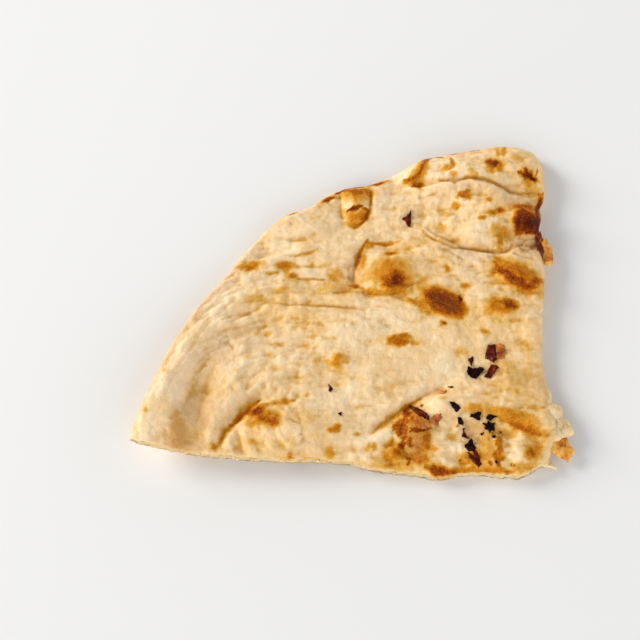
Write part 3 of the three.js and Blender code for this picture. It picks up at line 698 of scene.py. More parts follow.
TOASTED_SPOTS = (  # centre, half sizes, turn, strength, softness; some also stray, corners
    # amber and tan spots by the brow
    ((-35.5, 14.8), (3.8, 2), 8, 0.42, 0.9), ((-39.5, 14.5), (2.4, 1.2), 5, 0.36, 0.9),
    ((-24, 15), (2.8, 1.6), 10, 0.42, 0.8), ((-21.5, 11), (1.6, 1.2), -20, 0.4, 0.9),
    ((-6.5, 11.5), (2.8, 1.9), 15, 0.26, 1), ((-26, 5), (3.1, 1.3), 15, 0.2, 1),
    ((-29, 12.3), (1.7, 0.6), 10, 0.22, 1),
    # freckles on the left
    ((-33.5, -11), (1, 1.3), 0, 0.24, 1), ((-29.5, -11.5), (1.4, 1), 0, 0.2, 1),
    ((-36, -20.5), (1.7, 1), 10, 0.2, 1), ((-29, -19.5), (1.7, 1.5), 0, 0.16, 1),
    ((-40, -26), (1.4, 1.5), 0, 0.18, 1), ((-19, -23), (1.7, 1.3), 0, 0.14, 1),
    ((-12.5, -22.5), (1.7, 1.5), 0, 0.22, 1), ((-34, -51.5), (1.7, 1.2), 0, 0.2, 1),
    ((-21.5, -52.5), (3.1, 2.3), 0, 0.16, 1), ((-64, -27), (1.2, 1.3), 0, 0.26, 1),
    ((-69.5, -42), (1.2, 1.2), 0, 0.26, 1), ((-54, -6.5), (1.2, 1.2), 0, 0.2, 1),
    ((-16, -35), (0.8, 0.8), 0, 0.3, 0.8),
    # the swirl, and the brown spot by the brown crease
    ((-5.5, -21.5), (2.4, 3.1), -30, 0.34, 0.7), ((-8.5, -22), (1.7, 1.2), 10, 0.22, 1),
    ((-33.2, -40.8), (3.8, 1.9), 4, 0.64, 1.1, 0.6), ((-30.8, -43.4), (5.6, 3.4), -20, 0.5, 1.2, 0.7),
    ((-27.4, -45), (2.4, 1.9), -25, 0.52, 1.2), ((-47, -53.5), (1.2, 1.5), 30, 0.34, 0.8),
    # along the cut
    ((-8, -55), (2.3, 2.3), 0, 0.34, 0.9), ((-7, -47), (2.8, 1.4), 22, 0.42, 0.6),
    ((-21.5, -57.5), (1.2, 1.5), 0, 0.42, 0.8), ((1, -48.5), (1.4, 1), 10, 0.3, 0.9),
    ((5.5, -53), (1.7, 1.7), 30, 0.32, 1),
    # far rim: dark edges, and the brown cap of its blister
    ((-21.5, 36), (1.4, 1), 20, 0.5, 0.8), ((-8.5, 42), (2.6, 0.9), 25, 0.6, 0.8),
    ((-4, 45.2), (2.4, 0.8), 20, 0.6, 0.8), ((1.5, 47.8), (4.9, 1), 5, 0.66, 0.7),
    ((1, 44.6), (5.4, 2.1), 4, 0.5, 1), ((1.6, 41), (1.5, 3.4), 0, 0.34, 1.2),
    ((9, 48.8), (3.8, 0.9), 12, 0.56, 0.8),
    # rim blister
    ((0.4, 36.6), (1.4, 1), 12, 0.5, 0.9), ((1.8, 42.6), (3.6, 3), 0, 0.4, 1.4),
    ((3.8, 34.6), (2.2, 2), 24, 0.5, 1), ((0.4, 33.8), (3.6, 2.7), 0, 0.37, 0.9),
    ((1, 31.4), (1.6, 1.2), 0, 0.42, 1),
    # great blister
    ((2.9, 17), (1.8, 4.2), -12, 0.35, 1), ((6, 23.5), (1.7, 1.5), 30, 0.36, 0.8),
    ((13.2, 11.4), (7.4, 5.6), 0, 0.36, 1), ((5, 10.6), (3, 4.4), 0, 0.14, 1.1),
    ((14.2, 8), (5.6, 4), 0, 0.55, 1), ((17, 6.6), (2.8, 2), -20, 0.5, 1),
    ((14.4, 7.6), (3.4, 2.4), 0, 0.64, 1), ((13.4, 19.2), (2.4, 1), 5, 0.46, 0.8),
    ((6.5, 5.5), (4.2, 1.2), 5, 0.2, 1), ((0.5, 7), (2.1, 1.2), -5, 0.52, 0.8),
    # brown oval, and the dots about it
    ((31.6, 0.3), (8.9, 4.8), -30, 0.52, 0.3, 0.35), ((28.6, 1.6), (4.4, 3), -28, 0.62, 0.8, 0.6),
    ((32.8, -1), (5.8, 2.6), -30, 0.63, 0.8, 0.6), ((22.6, -1), (5.2, 2), -24, 0.36, 1),
    ((20.6, 0.8), (2.6, 0.9), -30, 0.4, 1), ((37, 2), (0.8, 1.2), 0, 0.74, 0.7),
    ((33, 12.5), (0.8, 1.2), 20, 0.4, 0.7), ((39, 6.5), (1.6, 1.2), 15, 0.36, 0.8),
    ((31, -7.5), (1.4, 1), 10, 0.42, 0.8), ((31.5, -7.5), (0.6, 0.5), 0, 0.7, 0.8),
    # oval spot under the right ridge, and the cream middle
    ((51, -1.4), (5, 3.4), 0, 0.42, 0.6, 0.6), ((54, -0.6), (3.3, 2.1), -15, 0.56, 0.8, 0.6),
    ((16, -14), (4.9, 2.2), -3, 0.48, 0.55), ((45, -10.5), (1.7, 1.2), -20, 0.36, 0.9),
    ((36.5, -18), (2.4, 1.5), 0, 0.2, 1),
    # far lobe
    ((23.5, 47.5), (1.7, 2.3), 40, 0.44, 0.8), ((50.8, 54), (3.8, 3.3), -10, 0.44, 0.8),
    ((51, 54.5), (2.5, 1.6), -10, 0.68, 0.8), ((53, 60.5), (1, 3), 0, 0.32, 1),
    ((63.6, 50.3), (2.6, 1.5), -35, 0.7, 0.8), ((65.2, 49.2), (1.7, 1.4), -40, 0.74, 0.8),
    ((63.5, 47.5), (1.4, 1.5), 0, 0.3, 1), ((34, 52.5), (2.1, 1.7), 40, 0.34, 0.9),
    ((36.5, 49.5), (1.4, 1), 0, 0.3, 0.9), ((43.5, 48.5), (2.4, 1.3), 0, 0.34, 0.9),
    ((42.5, 50.5), (1.4, 1.5), 0, 0.26, 1), ((59.5, 57), (2.1, 1.9), 0, 0.2, 1),
    # tongue
    ((40, 42), (2.6, 1.7), -10, 0.46, 0.45), ((37, 38), (1.6, 1.7), 35, 0.36, 0.7),
    ((48.5, 39.5), (1.1, 1), 0, 0.36, 0.8), ((52.5, 35), (1.9, 1.5), 30, 0.5, 0.8),
    ((49, 34), (2.1, 1.2), 10, 0.4, 0.9), ((45.5, 31.5), (1.9, 1.2), 10, 0.42, 0.8),
    ((53, 28), (1.7, 1.9), 0, 0.34, 0.9), ((52, 24), (1.2, 2.7), 10, 0.38, 0.8),
    ((31, 37), (1.7, 1.5), 20, 0.2, 1), ((33.5, 34), (1.4, 1.9), 20, 0.2, 1),
    ((31.5, 29.5), (2.1, 1.2), -15, 0.26, 0.9), ((36, 24), (1.4, 1.2), 0, 0.28, 1),
    ((36.5, 31), (2.1, 1.5), 0, 0.14, 1),
    # burnt patch at the right rim
    ((60.6, 36.2), (5, 2.3), 0, 0.5, 0.8, 0.8, 4), ((61.5, 30.3), (4.9, 4.4), 0, 0.67, 0.45, 0.8, 4),
    ((62.6, 29.6), (3.4, 2.2), -20, 0.72, 1.2), ((58.7, 30.6), (1.4, 3.2), 0, 0.73, 1.2),
    ((66, 31.5), (1.7, 6.2), 0, 0.8, 0.9), ((67.4, 40), (1.2, 3.4), 0, 0.66, 0.8),
    # right ridge
    ((57.2, 10.6), (9.8, 4.6), -24, 0.44, 1), ((52.4, 11), (3.6, 1.7), -42, 0.6, 1),
    ((50.4, 13.4), (2.8, 2.2), -35, 0.54, 1), ((50.6, 15.6), (2.4, 1.8), -30, 0.42, 1),
    ((59.5, 6.6), (4.5, 1.4), -22, 0.52, 0.9), ((63.6, 7.6), (2.2, 2.2), -20, 0.54, 0.8),
    ((55.6, 8.6), (3.5, 1.4), -36, 0.5, 1),
    # right of the flakes
    ((62.5, -7), (1.7, 1.5), 0, 0.14, 1), ((59.5, -18), (1.7, 5.4), 10, 0.14, 1),
    ((29.5, -36), (1.7, 0.8), 0, 0.2, 1), ((55, -33.5), (1.7, 1.3), 0, 0.2, 1),
    ((59, -26), (1.4, 1.9), 0, 0.16, 1),
    # onion bed
    ((20.9, -43.8), (3.5, 3.1), -12, 0.48, 0.8), ((20.8, -49), (4.6, 8.6), 4, 0.38, 0.8),
    ((18, -41), (1.2, 3), 20, 0.6, 1), ((13.6, -54.4), (3.8, 3.4), 0, 0.46, 0.9, 1.6),
    ((20.8, -48.4), (2.2, 3), 5, 0.34, 1), ((21.6, -56.8), (4, 2.2), 0, 0.4, 1),
    ((23.8, -49.8), (1.9, 5.4), 6, 0.46, 1, 1.6),
    # browned lip, and the golden sheet beside it
    ((27, -60.4), (3.5, 2.3), -6, 0.56, 0.6), ((32, -61.2), (3, 1.2), 0, 0.52, 0.8),
    ((32, -49), (1.9, 1.5), 0, 0.26, 1), ((40.6, -46), (3, 2.2), 0, 0.24, 1),
    ((52.5, 26.5), (4.6, 6), -10, 0.26, 1.2, 2), ((61.5, 23), (4, 4), 0, 0.14, 1.2),
    ((39.4, -56.4), (4.4, 2.6), -8, 0.36, 0.8), ((36, -57.6), (1.7, 1.5), 0, 0.36, 0.9),
    ((44.6, -53), (3, 5.6), 0, 0.27, 1.3),
    # low ridge and lip
    ((40.2, -40.2), (3.7, 1.9), -18, 0.33, 0.9), ((51.5, -42.3), (8.6, 2.3), -16, 0.37, 1),
    ((54.5, -45.6), (8.4, 1.6), -19, 0.43, 1), ((58.8, -54.8), (2.9, 2.9), 25, 0.4, 1),
    ((58.8, -54.8), (1.7, 1.7), 25, 0.46, 1),
    # pinhead dots about the flakes
    ((53, -59.5), (0.5, 0.4), 0, 0.6, 0.8), ((51.6, -59), (0.4, 0.4), 0, 0.5, 0.8),
    ((45, -58.5), (0.8, 0.8), 0, 0.55, 0.8), ((42.5, -48), (0.5, 0.6), 0, 0.95, 0.6),
    ((35, -57), (0.6, 0.5), 0, 0.6, 0.8), ((34.5, -45), (0.5, 0.5), 0, 0.6, 0.8),
    ((22.5, -38), (0.5, 0.8), 0, 0.7, 0.8),
    # broad pale gold tones; those at the left valley's foot and by the cut's lower right edge are painted
    # shade
    ((57, -30), (7, 6), 0, 0.18, 1.4), ((24.2, 6), (3.2, 2.4), -20, 0.3, 1.2),
    ((24.3, 0.6), (2.8, 2.6), 0, 0.32, 1.2), ((52.4, 6.5), (4, 3), 0, 0.14, 1.4),
    ((16, 4.2), (8, 2), 4, 0.2, 1.2), ((-60, -51), (3.4, 4.6), 0, 0.16, 1.5),
    ((-58.4, -50), (5, 6), 0, 0.17, 1.4), ((50.5, -23.4), (5, 3), 0, 0.15, 1.4),
    ((45.5, -46.6), (5, 2.2), -12, 0.26, 1.3), ((-1, 5.5), (4, 2.6), 0, 0.24, 1.2),
    ((-20, -45), (7, 5), 0, 0.14, 1.4), ((-34, 1.5), (5, 3), 20, 0.2, 1.5),
    ((-27.3, -0.5), (5, 2.4), 0, 0.17, 1.5), ((-43, -31), (5, 5), 0, 0.12, 1.5),
    ((-52, -42), (4, 10), -8, 0.08, 1.6), ((-35, -42.4), (4, 3), 0, 0.2, 1.5),
    ((-26.5, -52.9), (6, 4), 0, 0.13, 1.5), ((-9.9, -45.7), (6, 4), 0, 0.12, 1.5),
    ((11.6, -58.9), (8, 2.2), 0, 0.22, 1.3), ((12.1, -31.8), (7, 3.4), 14, 0.13, 1.5),
    ((56, -59.8), (5, 1.6), 10, 0.3, 1.2), ((44.2, 54), (7, 4), 0, 0.13, 1.4),
    ((62.3, 53), (5, 5), 0, 0.07, 1.6), ((62, 46), (4, 3), 0, 0.12, 1.5),
    ((-9.9, 7.4), (5, 3), 0, 0.15, 1.4),
)

BUTTERED_SPOTS = (
    ((36, -12), (32, 16), -6, 0.9, 1.2), ((11.5, 11), (10, 9), 0, 0.9, 0.8),
    ((31, 0), (11, 7), -26, 1, 0.6), ((57, 9), (12, 7), -22, 1, 0.8),
    ((44, 32), (20, 12), -6, 0.6, 1.2), ((48, 54), (24, 8), 4, 0.35, 1.2), ((1, 38), (5, 8), 0, 0.8, 0.8),
    ((26, -50), (14, 12), 0, 0.8, 0.9), ((58, -42), (14, 7), -14, 0.8, 1),
    ((-31, -42), (8, 6), -25, 0.5, 0.9), ((2, -56), (12, 5), 0, 0.7, 1),
    ((-14, 22), (14, 9), 20, 0.5, 1.2), ((28, -30), (11, 4), 8, 0.8, 1),
    ((-2, -52), (12, 5), 0, 0.8, 1), ((10, -34), (10, 5), 20, 0.7, 1),
)

# pale flour tone: real dusting, and painted highlights on blister sides, crests and slopes that lie in shade
FLOUR_AND_HIGHLIGHT_SPOTS = (
    ((-1.8, 40.2), (1.6, 3), 0, 0.5, 1.2), ((4.4, 39.8), (1.3, 2.6), 0, 0.5, 1.2),
    ((5, 12.6), (3, 4.6), 0, 0.7, 1), ((8.6, 19.6), (3, 2.2), 0, 0.7, 1),
    ((-66, -36), (5, 22), -28, 0.5, 1.2), ((-20, 24), (22, 10), 28, 0.7, 1.4),
    ((10, 44), (20, 6), 24, 0.5, 1.2), ((49, 27), (6, 6), 0, 0.9, 1), ((36, 38), (6, 5), 0, 0.5, 1.2),
    ((42, 12), (10, 6), -20, 0.7, 1.2), ((36, -51), (6, 6), 0, 0.8, 1),
    ((54.5, -53.5), (6, 6), 0, 1, 0.8), ((8, -50), (12, 5), 10, 0.6, 1.2),
    ((14, -10), (15, 7), -6, 0.9, 1.2), ((28, -24), (12, 8), 0, 0.7, 1.2), ((0, -36), (14, 6), 8, 0.7, 1.2),
    ((-17, 15), (10, 7), 0, 0.9, 1.2), ((-44, -1), (5, 12), -40, 0.8, 1.2),
    ((-66, -46), (6, 8), -20, 0.7, 1.2), ((-42, -1), (7, 6), 0, 0.8, 1.2),
    ((-42, -24), (6, 6), 0, 0.8, 1.2), ((-2, -13), (16, 8), 0, 1, 1.2), ((40, 51), (14, 5), 4, 0.7, 1.2),
    ((47, 4), (6, 5), 0, 0.8, 1.2), ((53, -50), (7, 3), -20, 0.9, 1), ((-54, -26), (4, 8), -30, 0.9, 1.2),
    ((-48.5, -16.5), (5, 5), 0, 0.8, 1.2), ((-23.6, -15.6), (6, 4), 0, 0.7, 1.2),
    ((-19, 7.6), (8, 3.4), 0, 0.9, 1), ((-58.5, -32), (4, 8), -14, 0.7, 1.2),
    ((-20, -16), (12, 6), 0, 0.5, 1.2), ((5, -11), (8, 4), 0, 0.5, 1.2), ((4, -11), (7, 5), -20, 0.9, 1.2),
    ((-1, -23), (6, 4), 0, 0.8, 1.2),
)

# pinkish grey: moist dough, and painted shade in folds, beside blisters, under layer edges and flakes, and in
# the left valley
MOIST_AND_SHADED_SPOTS = (
    ((61.5, 24), (6.5, 6), 0, 1, 0.6, 1, 3), ((60.5, 38.5), (7, 4), 0, 0.8, 0.8),
    ((-0.5, 13), (3, 7), -12, 0.7, 1), ((48, 44.5), (12, 3), -10, 0.6, 1),
    ((-58, -48), (4.5, 9), -6, 1, 1.2), ((-52, -42), (4.5, 10), -8, 0.8, 1.4),
    ((-52, -24), (5, 12), -35, 0.35, 1.4), ((-40, -14), (7, 5), 20, 0.35, 1.2),
    ((36, 20), (10, 3), -20, 0.5, 1), ((60, -29), (6, 4), 0, 0.5, 1),
    ((20, -50.5), (2.6, 4.4), 5, 1, 0.8), ((40.6, -46.4), (3.6, 2.6), 0, 1, 0.9),
    ((25, 14), (4, 4), 0, 0.4, 1),
)

TOASTED_STREAKS = (  # path, half width, strength, softness; some also stray
    # far lobe and its rim
    (((18.3, 48.9), (21.5, 49.3), (24.1, 50.9), (26, 55), (28.4, 58.8)), 0.7, 0.52, 0.9),
    # this wide soft band round the brown streak is partly browning, partly painted shade
    (((19, 48.4), (22.6, 49.4), (25.2, 52.2), (27.2, 56.7)), 2.4, 0.42, 1.2),
    (((23.9, 55.7), (26.9, 57.9), (29.9, 59.8), (33.4, 58.1)), 0.5, 0.6, 0.7),
    (((35.2, 60), (40.3, 62.1), (46.8, 62.6)), 0.6, 0.55, 0.7),
    (((51.6, 65.3), (56.6, 65.4)), 0.6, 0.5, 0.8), (((56.1, 64.1), (54.6, 58)), 1, 0.34, 0.9),
    (((35.5, 58.1), (36.3, 54.1), (35.1, 50.9)), 0.8, 0.36, 0.9),
    (((59.8, 51.6), (62.4, 50.9)), 0.6, 0.56, 0.8), (((62.6, 53.4), (63.3, 51)), 0.4, 0.5, 0.9),
    (((66.8, 53), (66, 50.6)), 0.4, 0.5, 0.9),
    # edges of the tongue and the lobe
    (((22.2, 30.9), (28.2, 24.7), (35.9, 20.9), (42, 20.9), (49, 20.2), (54.3, 20.5)), 0.6, 0.2, 1),
    (((29.1, 48.5), (36.7, 46.6), (41.2, 48.5), (47.6, 47.9), (52.7, 46.3)), 0.7, 0.2, 1),
    (((52.7, 46.3), (57.4, 44.1), (64.6, 44.2)), 0.7, 0.16, 1),
    # great blister
    (((5.4, 25.2), (2.9, 21.3), (1.7, 17.9), (0.7, 13.8)), 0.9, 0.42, 1),
    (((5.1, 24.6), (8.6, 23.8), (12.5, 23.8), (16.4, 24.6)), 0.7, 0.33, 1),
    (((1.6, 7), (5, 4.6), (11, 3.4), (17, 4.2), (21, 7.4)), 0.8, 0.34, 1),
    # brown crease and long crease
    (((-32.2, -36.4), (-34.6, -39), (-37.2, -41.6), (-41, -45.2)), 1.5, 0.5, 1.4),
    (((-39.7, -44.2), (-42.6, -47.4), (-44.9, -52.2)), 1.4, 0.24, 1.4),
    (((-31.4, -38.9), (-26.4, -37.9), (-20.5, -36.6)), 1.3, 0.3, 1.4),
    (((5.8, -47.8), (12.3, -41.9), (16.7, -38.7)), 1.1, 0.22, 1.2),
    (((16, -39), (19.5, -36.9), (22.2, -35.3)), 0.8, 0.34, 1),
    # onion bed and low ridge
    (((18.8, -37.6), (21.6, -40.6), (24.6, -42.8)), 0.8, 0.8, 0.7),
    (((18, -48.3), (21.7, -47.3), (25.8, -46)), 0.6, 0.6, 0.8),
    (((50.1, -44.5), (55.6, -46.6), (61.5, -48.8)), 1.1, 0.38, 1.1),
    (((48.6, -40), (55.1, -41.7), (61.8, -45.8)), 1.4, 0.22, 1),
    # rim blister
    (((6.6, 45.3), (6.6, 42), (6.3, 37.4)), 0.5, 0.34, 1),
    (((-4.4, 45.2), (-4.1, 39), (-3.6, 33.7)), 0.5, 0.12, 1),
    (((-1.8, 36.4), (0.4, 37.3), (3.6, 38)), 0.8, 0.68, 0.9),
    (((3.4, 37.4), (5.6, 36.2), (4.8, 33.4), (2.4, 31.4)), 0.9, 0.54, 1),
    (((-2.7, 32.4), (0.8, 30.2), (3.8, 32)), 0.7, 0.3, 1),
    # folds of the brow, and the cut's edge
    (((-20.7, 10.3), (-14.4, 10), (-8.4, 9.7)), 0.5, 0.24, 1.1),
    (((-20.4, 18.3), (-16.5, 19.2), (-12.7, 21.1), (-11.6, 18.9)), 0.4, 0.2, 1),
    (((-34.7, -57.8), (-21.5, -57.8), (-8.3, -57.8)), 0.9, 0.2, 1),
    # right side, from the rim to the low edge
    (((67, 41.8), (66.5, 37.7), (65.9, 34.4)), 0.6, 0.6, 0.8),
    (((48, -48.6), (48.2, -52.4), (47.7, -56.6), (48.2, -60.6)), 1.5, 0.47, 0.8, 1.6),
    (((50.6, 13), (52.8, 10.4), (55.4, 8.4), (59.7, 6.4), (63.5, 5.6)), 1.5, 0.56, 1.2),
    (((54.5, 12.6), (58.5, 9.8), (63.5, 7.6)), 0.8, 0.44, 1.2),
    (((68.6, 45), (67.4, 39), (66.8, 33)), 0.7, 0.4, 1),
    (((26, -61), (33, -60.4), (39, -60), (46, -60.7), (53, -61)), 1.3, 0.36, 1.3),
    (((18.6, -38), (16.8, -42), (15.9, -46), (16.6, -50), (15.8, -54), (17.6, -57.5)), 2.1, 0.56, 1.1, 2.4),
    # left valley: tan, and painted shade where the slope turns from the lamp
    (((-59.2, -42), (-59.2, -47), (-59, -54)), 2.6, 0.27, 1.7),
    (((-57, -44), (-57.2, -49), (-57.2, -54)), 1.3, 0.2, 1.7),
    (((-50.3, -38), (-51, -45), (-52, -52)), 1.6, 0.1, 1.8),
    # middle
    (((-36, -4), (-22, -3.4), (-8, -3.6), (6, -4.5)), 1.6, 0.06, 1.4),
    (((-20, -9), (-14, -10.5), (-8, -10)), 1.6, 0.1, 1.4),
)

RIM_SHADE_STREAKS = (  # painted shade along the left rim, where the low lamp falls full on it
    (((-73.5, -46.6), (-71.6, -40), (-67.2, -28), (-62, -15.8), (-55, -3.2), (-44.3, 11.6), (-38, 20.6)),
     2, 0.7, 1.4),
)

CREASES = tuple(Crease(*row) for row in CREASE_ROWS)
SPOTS = tuple(
    Spot(layer, *row)
    for layer, table in (
        (Layer.TOAST, TOASTED_SPOTS),
        (Layer.BUTTER, BUTTERED_SPOTS),
        (Layer.FLOUR_AND_HIGHLIGHT, FLOUR_AND_HIGHLIGHT_SPOTS),
        (Layer.SHADE_AND_MOIST, MOIST_AND_SHADED_SPOTS),
    )
    for row in table
)
STREAKS = tuple(
    Streak(layer, *row)
    for layer, table in ((Layer.TOAST, TOASTED_STREAKS), (Layer.SHADE_AND_MOIST, RIM_SHADE_STREAKS))
    for row in table
)


@dataclass
class Surface:
    """Fine relief of the skin, and the share of each layer at every place of it."""

    form: DoughForm
    swelling: Ripple = Ripple(14.0, 2.0, 2, 0.7)  # broad and uneven
    lumps: Ripple = Ripple(6.0, 3.0, 3, 0.6)
    puckers: Ripple = Ripple(2.4, 5.0, 3, 0.26)  # small, on the lumps
    folds: Ripple = Ripple(8.5, 11.0, 2, 1.3)  # broad, round the turn
    fine_wrinkles: Ripple = Ripple(2.8, 23.0, 3, 0.6)  # long, round the turn
    drawn_out: Pair = (0.32, 0.34)  # of the folds and the wrinkles: the less, the longer they run
    turn_at: Pair = (-18.0, -46.0)  # both run round this place and away from it along X
    turn_radius: float = 40.0  # makes the angle round it millimetres
    blister: float = 0.35  # height of the pinhead blisters
    blister_count: int = 220
    seed: int = 7
    calm: tuple[tuple[Pair, Pair, float], ...] = (  # smooth places: middle, reach, how smooth
        ((22, -18), (34, 17), 1.0),
        ((-8, -44), (26, 10), 0.6),
        ((-53, -37), (11, 17), 0.8),
        ((-15, 28), (17, 11), 0.8),
    )
    calmed: float = 0.75  # share of the wrinkles that the smooth places lose
    whole_from: float = 2.5  # millimetres from an edge at which the relief is whole
    beyond: float = 3.0  # millimetres from a crease at which it no longer matters
    warps: tuple[Ripple, Ripple] = (Ripple(4.0, 83.0), Ripple(4.0, 89.0))  # shift the marks along X and Y
    frays: tuple[Ripple, Ripple] = (Ripple(1.6, 31.0, 3, 0.6), Ripple(6.0, 37.0, 2, 0.3))  # of outlines
    clouds: tuple[Ripple, Ripple] = (Ripple(9.0, 41.0, 4), Ripple(24.0, 47.0, 2, 0.5))  # of pale tones
    wash: Ripple = Ripple(30.0, 49.0, 2, 1.4, 0.5)  # the broadest pale tan tone
    rim_toast: Ripple = Ripple(7.0, 43.0, 2, 1.0, 0.4)  # where the rim is toasted
    oven_patches: Ripple = Ripple(13.0, 53.0, 4, 1.6, -0.15)  # where the underside touched the oven
    oven_flour: Ripple = Ripple(8.0, 59.0, 3, 1.0, 0.6)

    def drawn(self, at: Place) -> tuple[Field, Field]:
        """Measures places across and along the way the skin was drawn out by hand.

        Args:
            at: The places.

        Returns:
            Millimetres across that way, and along it: round the turn on the left, along X elsewhere.
        """
        dx, dy = at.x - self.turn_at[0], at.y - self.turn_at[1]
        left = dx < 0.0
        across = np.where(left, np.hypot(dx, dy), np.abs(dy))
        along = np.where(left, self.turn_radius * np.arctan2(dx, np.maximum(dy, TINY)), dx)
        return across, along

    def roughened(self, at: Place) -> Field:
        """Finds how wrinkled the skin is.

        Args:
            at: The places.

        Returns:
            Shares: 1 on the left and along the far side, little in the smooth middle on the right.
        """
        calm = np.zeros(np.shape(at.x))
        for (x, y), (wide, deep), amount in self.calm:
            calm += amount * np.exp(-(((at.x - x) / wide) ** 2) - ((at.y - y) / deep) ** 2)
        return 1.0 - self.calmed * np.minimum(calm, 1.0)

    def wrinkles(self, at: Place) -> Field:
        """Adds broad folds and fine wrinkles, both drawn out the same way.

        Args:
            at: The places.

        Returns:
            Heights in millimetres.
        """
        across, along = self.drawn(at)
        of_folds, of_wrinkles = self.drawn_out
        broad = self.folds.over(across, of_folds * along)
        fine = self.fine_wrinkles.over(across, of_wrinkles * along)
        return (broad + fine) * self.roughened(at)

    def blisters(self, at: Place) -> Field:
        """Scatters pinhead blisters over the skin.

        Args:
            at: The places.

        Returns:
            Heights from 0 to about 1.
        """
        chance = np.random.default_rng(self.seed)
        least, most = 0.9, 2.4  # half widths in millimetres
        lowest = 0.3  # the least they rise, as a share of what their width allows
        span_x, span_y = (-60, 66), (-58, 62)  # where they may lie
        height = np.zeros(np.shape(at.x))
        for _ in range(self.blister_count):
            cx, cy = chance.uniform(*span_x), chance.uniform(*span_y)
            half = chance.uniform(least, most)
            rise = chance.uniform(lowest, 1.0) * half / most
            q = ((at.x - cx) ** 2 + (at.y - cy) ** 2) / (half * half)
            height += rise * np.maximum(1.0 - q, 0.0) ** 2
        return height

    def relief(self, at: Place) -> Field:
        """Adds the relief finer than the form's own: creases, lumps, wrinkles and pinhead blisters.

        Args:
            at: The places.

        Returns:
            Heights in millimetres, low by the edges.
        """
        everywhere = 0.35  # share of the lumps that smooth places have too
        at_edges = 0.25  # share of the relief that is left at an edge
        height = self.swelling.over(at.x, at.y)
        knobbly = self.lumps.over(at.x, at.y) + self.puckers.over(at.x, at.y)
        height += knobbly * (everywhere + (1.0 - everywhere) * self.roughened(at)) + self.wrinkles(at)
        height += self.blister * self.blisters(at)
        inwards = smooth(np.minimum(at.rim, at.cut) / self.whole_from)
        height = height * (at_edges + (1.0 - at_edges) * inwards)
        for crease in CREASES:
            height = height + crease.trace(at.x, at.y)[0]
        return height

    def creases(self, at: Place) -> tuple[Field, Field]:
        """Finds the crease whose painted shade line shows most at each place.

        Args:
            at: The places.

        Returns:
            How strongly it shows, and the millimetres to its left.
        """
        near = np.zeros(np.shape(at.x))
        across = np.full(np.shape(at.x), self.beyond)
        for crease in CREASES:
            _, shows, signed = crease.trace(at.x, at.y)
            stronger = shows > near
            near = np.where(stronger, shows, near)
            across = np.where(stronger, np.clip(signed, -self.beyond, self.beyond), across)
        return near, across

    def upper_layers(self, at: Place, hollow: Field) -> dict[Layer, Field]:
        """Measures every layer on the top of the sheet.

        Args:
            at: The places.
            hollow: How deep each place lies below its surroundings, in millimetres.

        Returns:
            The share of each layer.
        """
        power = 5.0  # overlapping marks keep about the strength of the stronger one
        least, widest = 0.6, 1.5  # millimetres by which every outline and a large spot's outline stray
        of_half = 0.6  # how far the outlines between them stray, in half widths of the mark
        wobble = sum(ripple.over(at.x, at.y) for ripple in self.frays)
        shift_x, shift_y = (ripple.over(at.x, at.y) for ripple in self.warps)
        shares = {layer: np.zeros(np.shape(at.x)) for layer in Layer}
        for marks, most in ((SPOTS, widest), (STREAKS, least)):
            for mark in marks:
                stray = mark.stray * max(least, min(most, of_half * float(np.min(mark.half))))
                share = mark.share(at.x + stray * shift_x, at.y + stray * shift_y, wobble * mark.stray)
                shares[mark.layer] += share**power
        shares = {layer: np.minimum(share ** (1.0 / power), 1.0) for layer, share in shares.items()}
        cloud = sum(ripple.over(at.x, at.y) for ripple in self.clouds)
        toast = shares[Layer.TOAST]
        shares[Layer.TOAST] = toast + self.faint_toast(at, hollow, cloud) * (1.0 - toast) ** 2
        whole_crest, of_crest_highlight, of_clouds = 0.5, 0.6, 0.4  # millimetres, and the shares of pale flour tone; on the crests it is a painted highlight
        raised = of_crest_highlight * np.clip(-hollow / whole_crest, 0.0, 1.0) + of_clouds * smooth(-0.9 * cloud)
        shares[Layer.FLOUR_AND_HIGHLIGHT] = np.minimum(shares[Layer.FLOUR_AND_HIGHLIGHT] + raised, 1.0)
        shares[Layer.NEAR], shares[Layer.ACROSS] = self.creases(at)
        return shares

    def faint_toast(self, at: Place, hollow: Field, cloud: Field) -> Field:
        """Measures the pale tan tones between the marks, with painted shade in the hollows.

        Args:
            at: The places.
            hollow: How deep each place lies below its surroundings, in millimetres.
            cloud: The clouds' values.

        Returns:
            Shares of toast: broad, cloudy, painted shade in the hollows, and along the rim.
        """
        of_wash, of_clouds, of_hollow_shade, of_rim = 0.05, 0.10, 0.15, 0.16
        whole_hollow, rim_reach = 0.6, 1.2  # millimetres
        tan = of_wash * smooth(self.wash.over(at.x, at.y)) + of_clouds * smooth(0.3 + 0.8 * cloud)
        tan += of_hollow_shade * np.clip(hollow / whole_hollow, 0.0, 1.0)
        return tan + of_rim * np.exp(-at.rim / rim_reach) * smooth(self.rim_toast.over(at.x, at.y))

    def lower_layers(self, at: Place) -> dict[Layer, Field]:
        """Measures every layer on the underside, which lay on the hot floor of the oven.

        Args:
            at: The places.

        Returns:
            The share of each layer.
        """
        shares = {layer: np.zeros(np.shape(at.x)) for layer in Layer}
        everywhere, in_patches, flour_and_highlight_tone = 0.10, 0.42, 0.7
        shares[Layer.TOAST] = everywhere + in_patches * smooth(self.oven_patches.over(at.x, at.y))
        shares[Layer.FLOUR_AND_HIGHLIGHT] = flour_and_highlight_tone * smooth(self.oven_flour.over(at.x, at.y))
        shares[Layer.ACROSS] = np.full(np.shape(at.x), self.beyond)
        return shares


# ---------------------------------------------------------------- material nodes


def srgb(code: str) -> tuple[float, float, float, float]:
    """Turns a colour to linear light.

    Args:
        code: An sRGB hex colour such as "EECB96".

    Returns:
        Its linear red, green, blue and alpha.
    """
    parts = [int(code[k : k + 2], 16) / 255.0 for k in (0, 2, 4)]
    linear = [c / 12.92 if c <= 0.04045 else ((c + 0.055) / 1.055) ** 2.4 for c in parts]
    return (linear[0], linear[1], linear[2], 1.0)


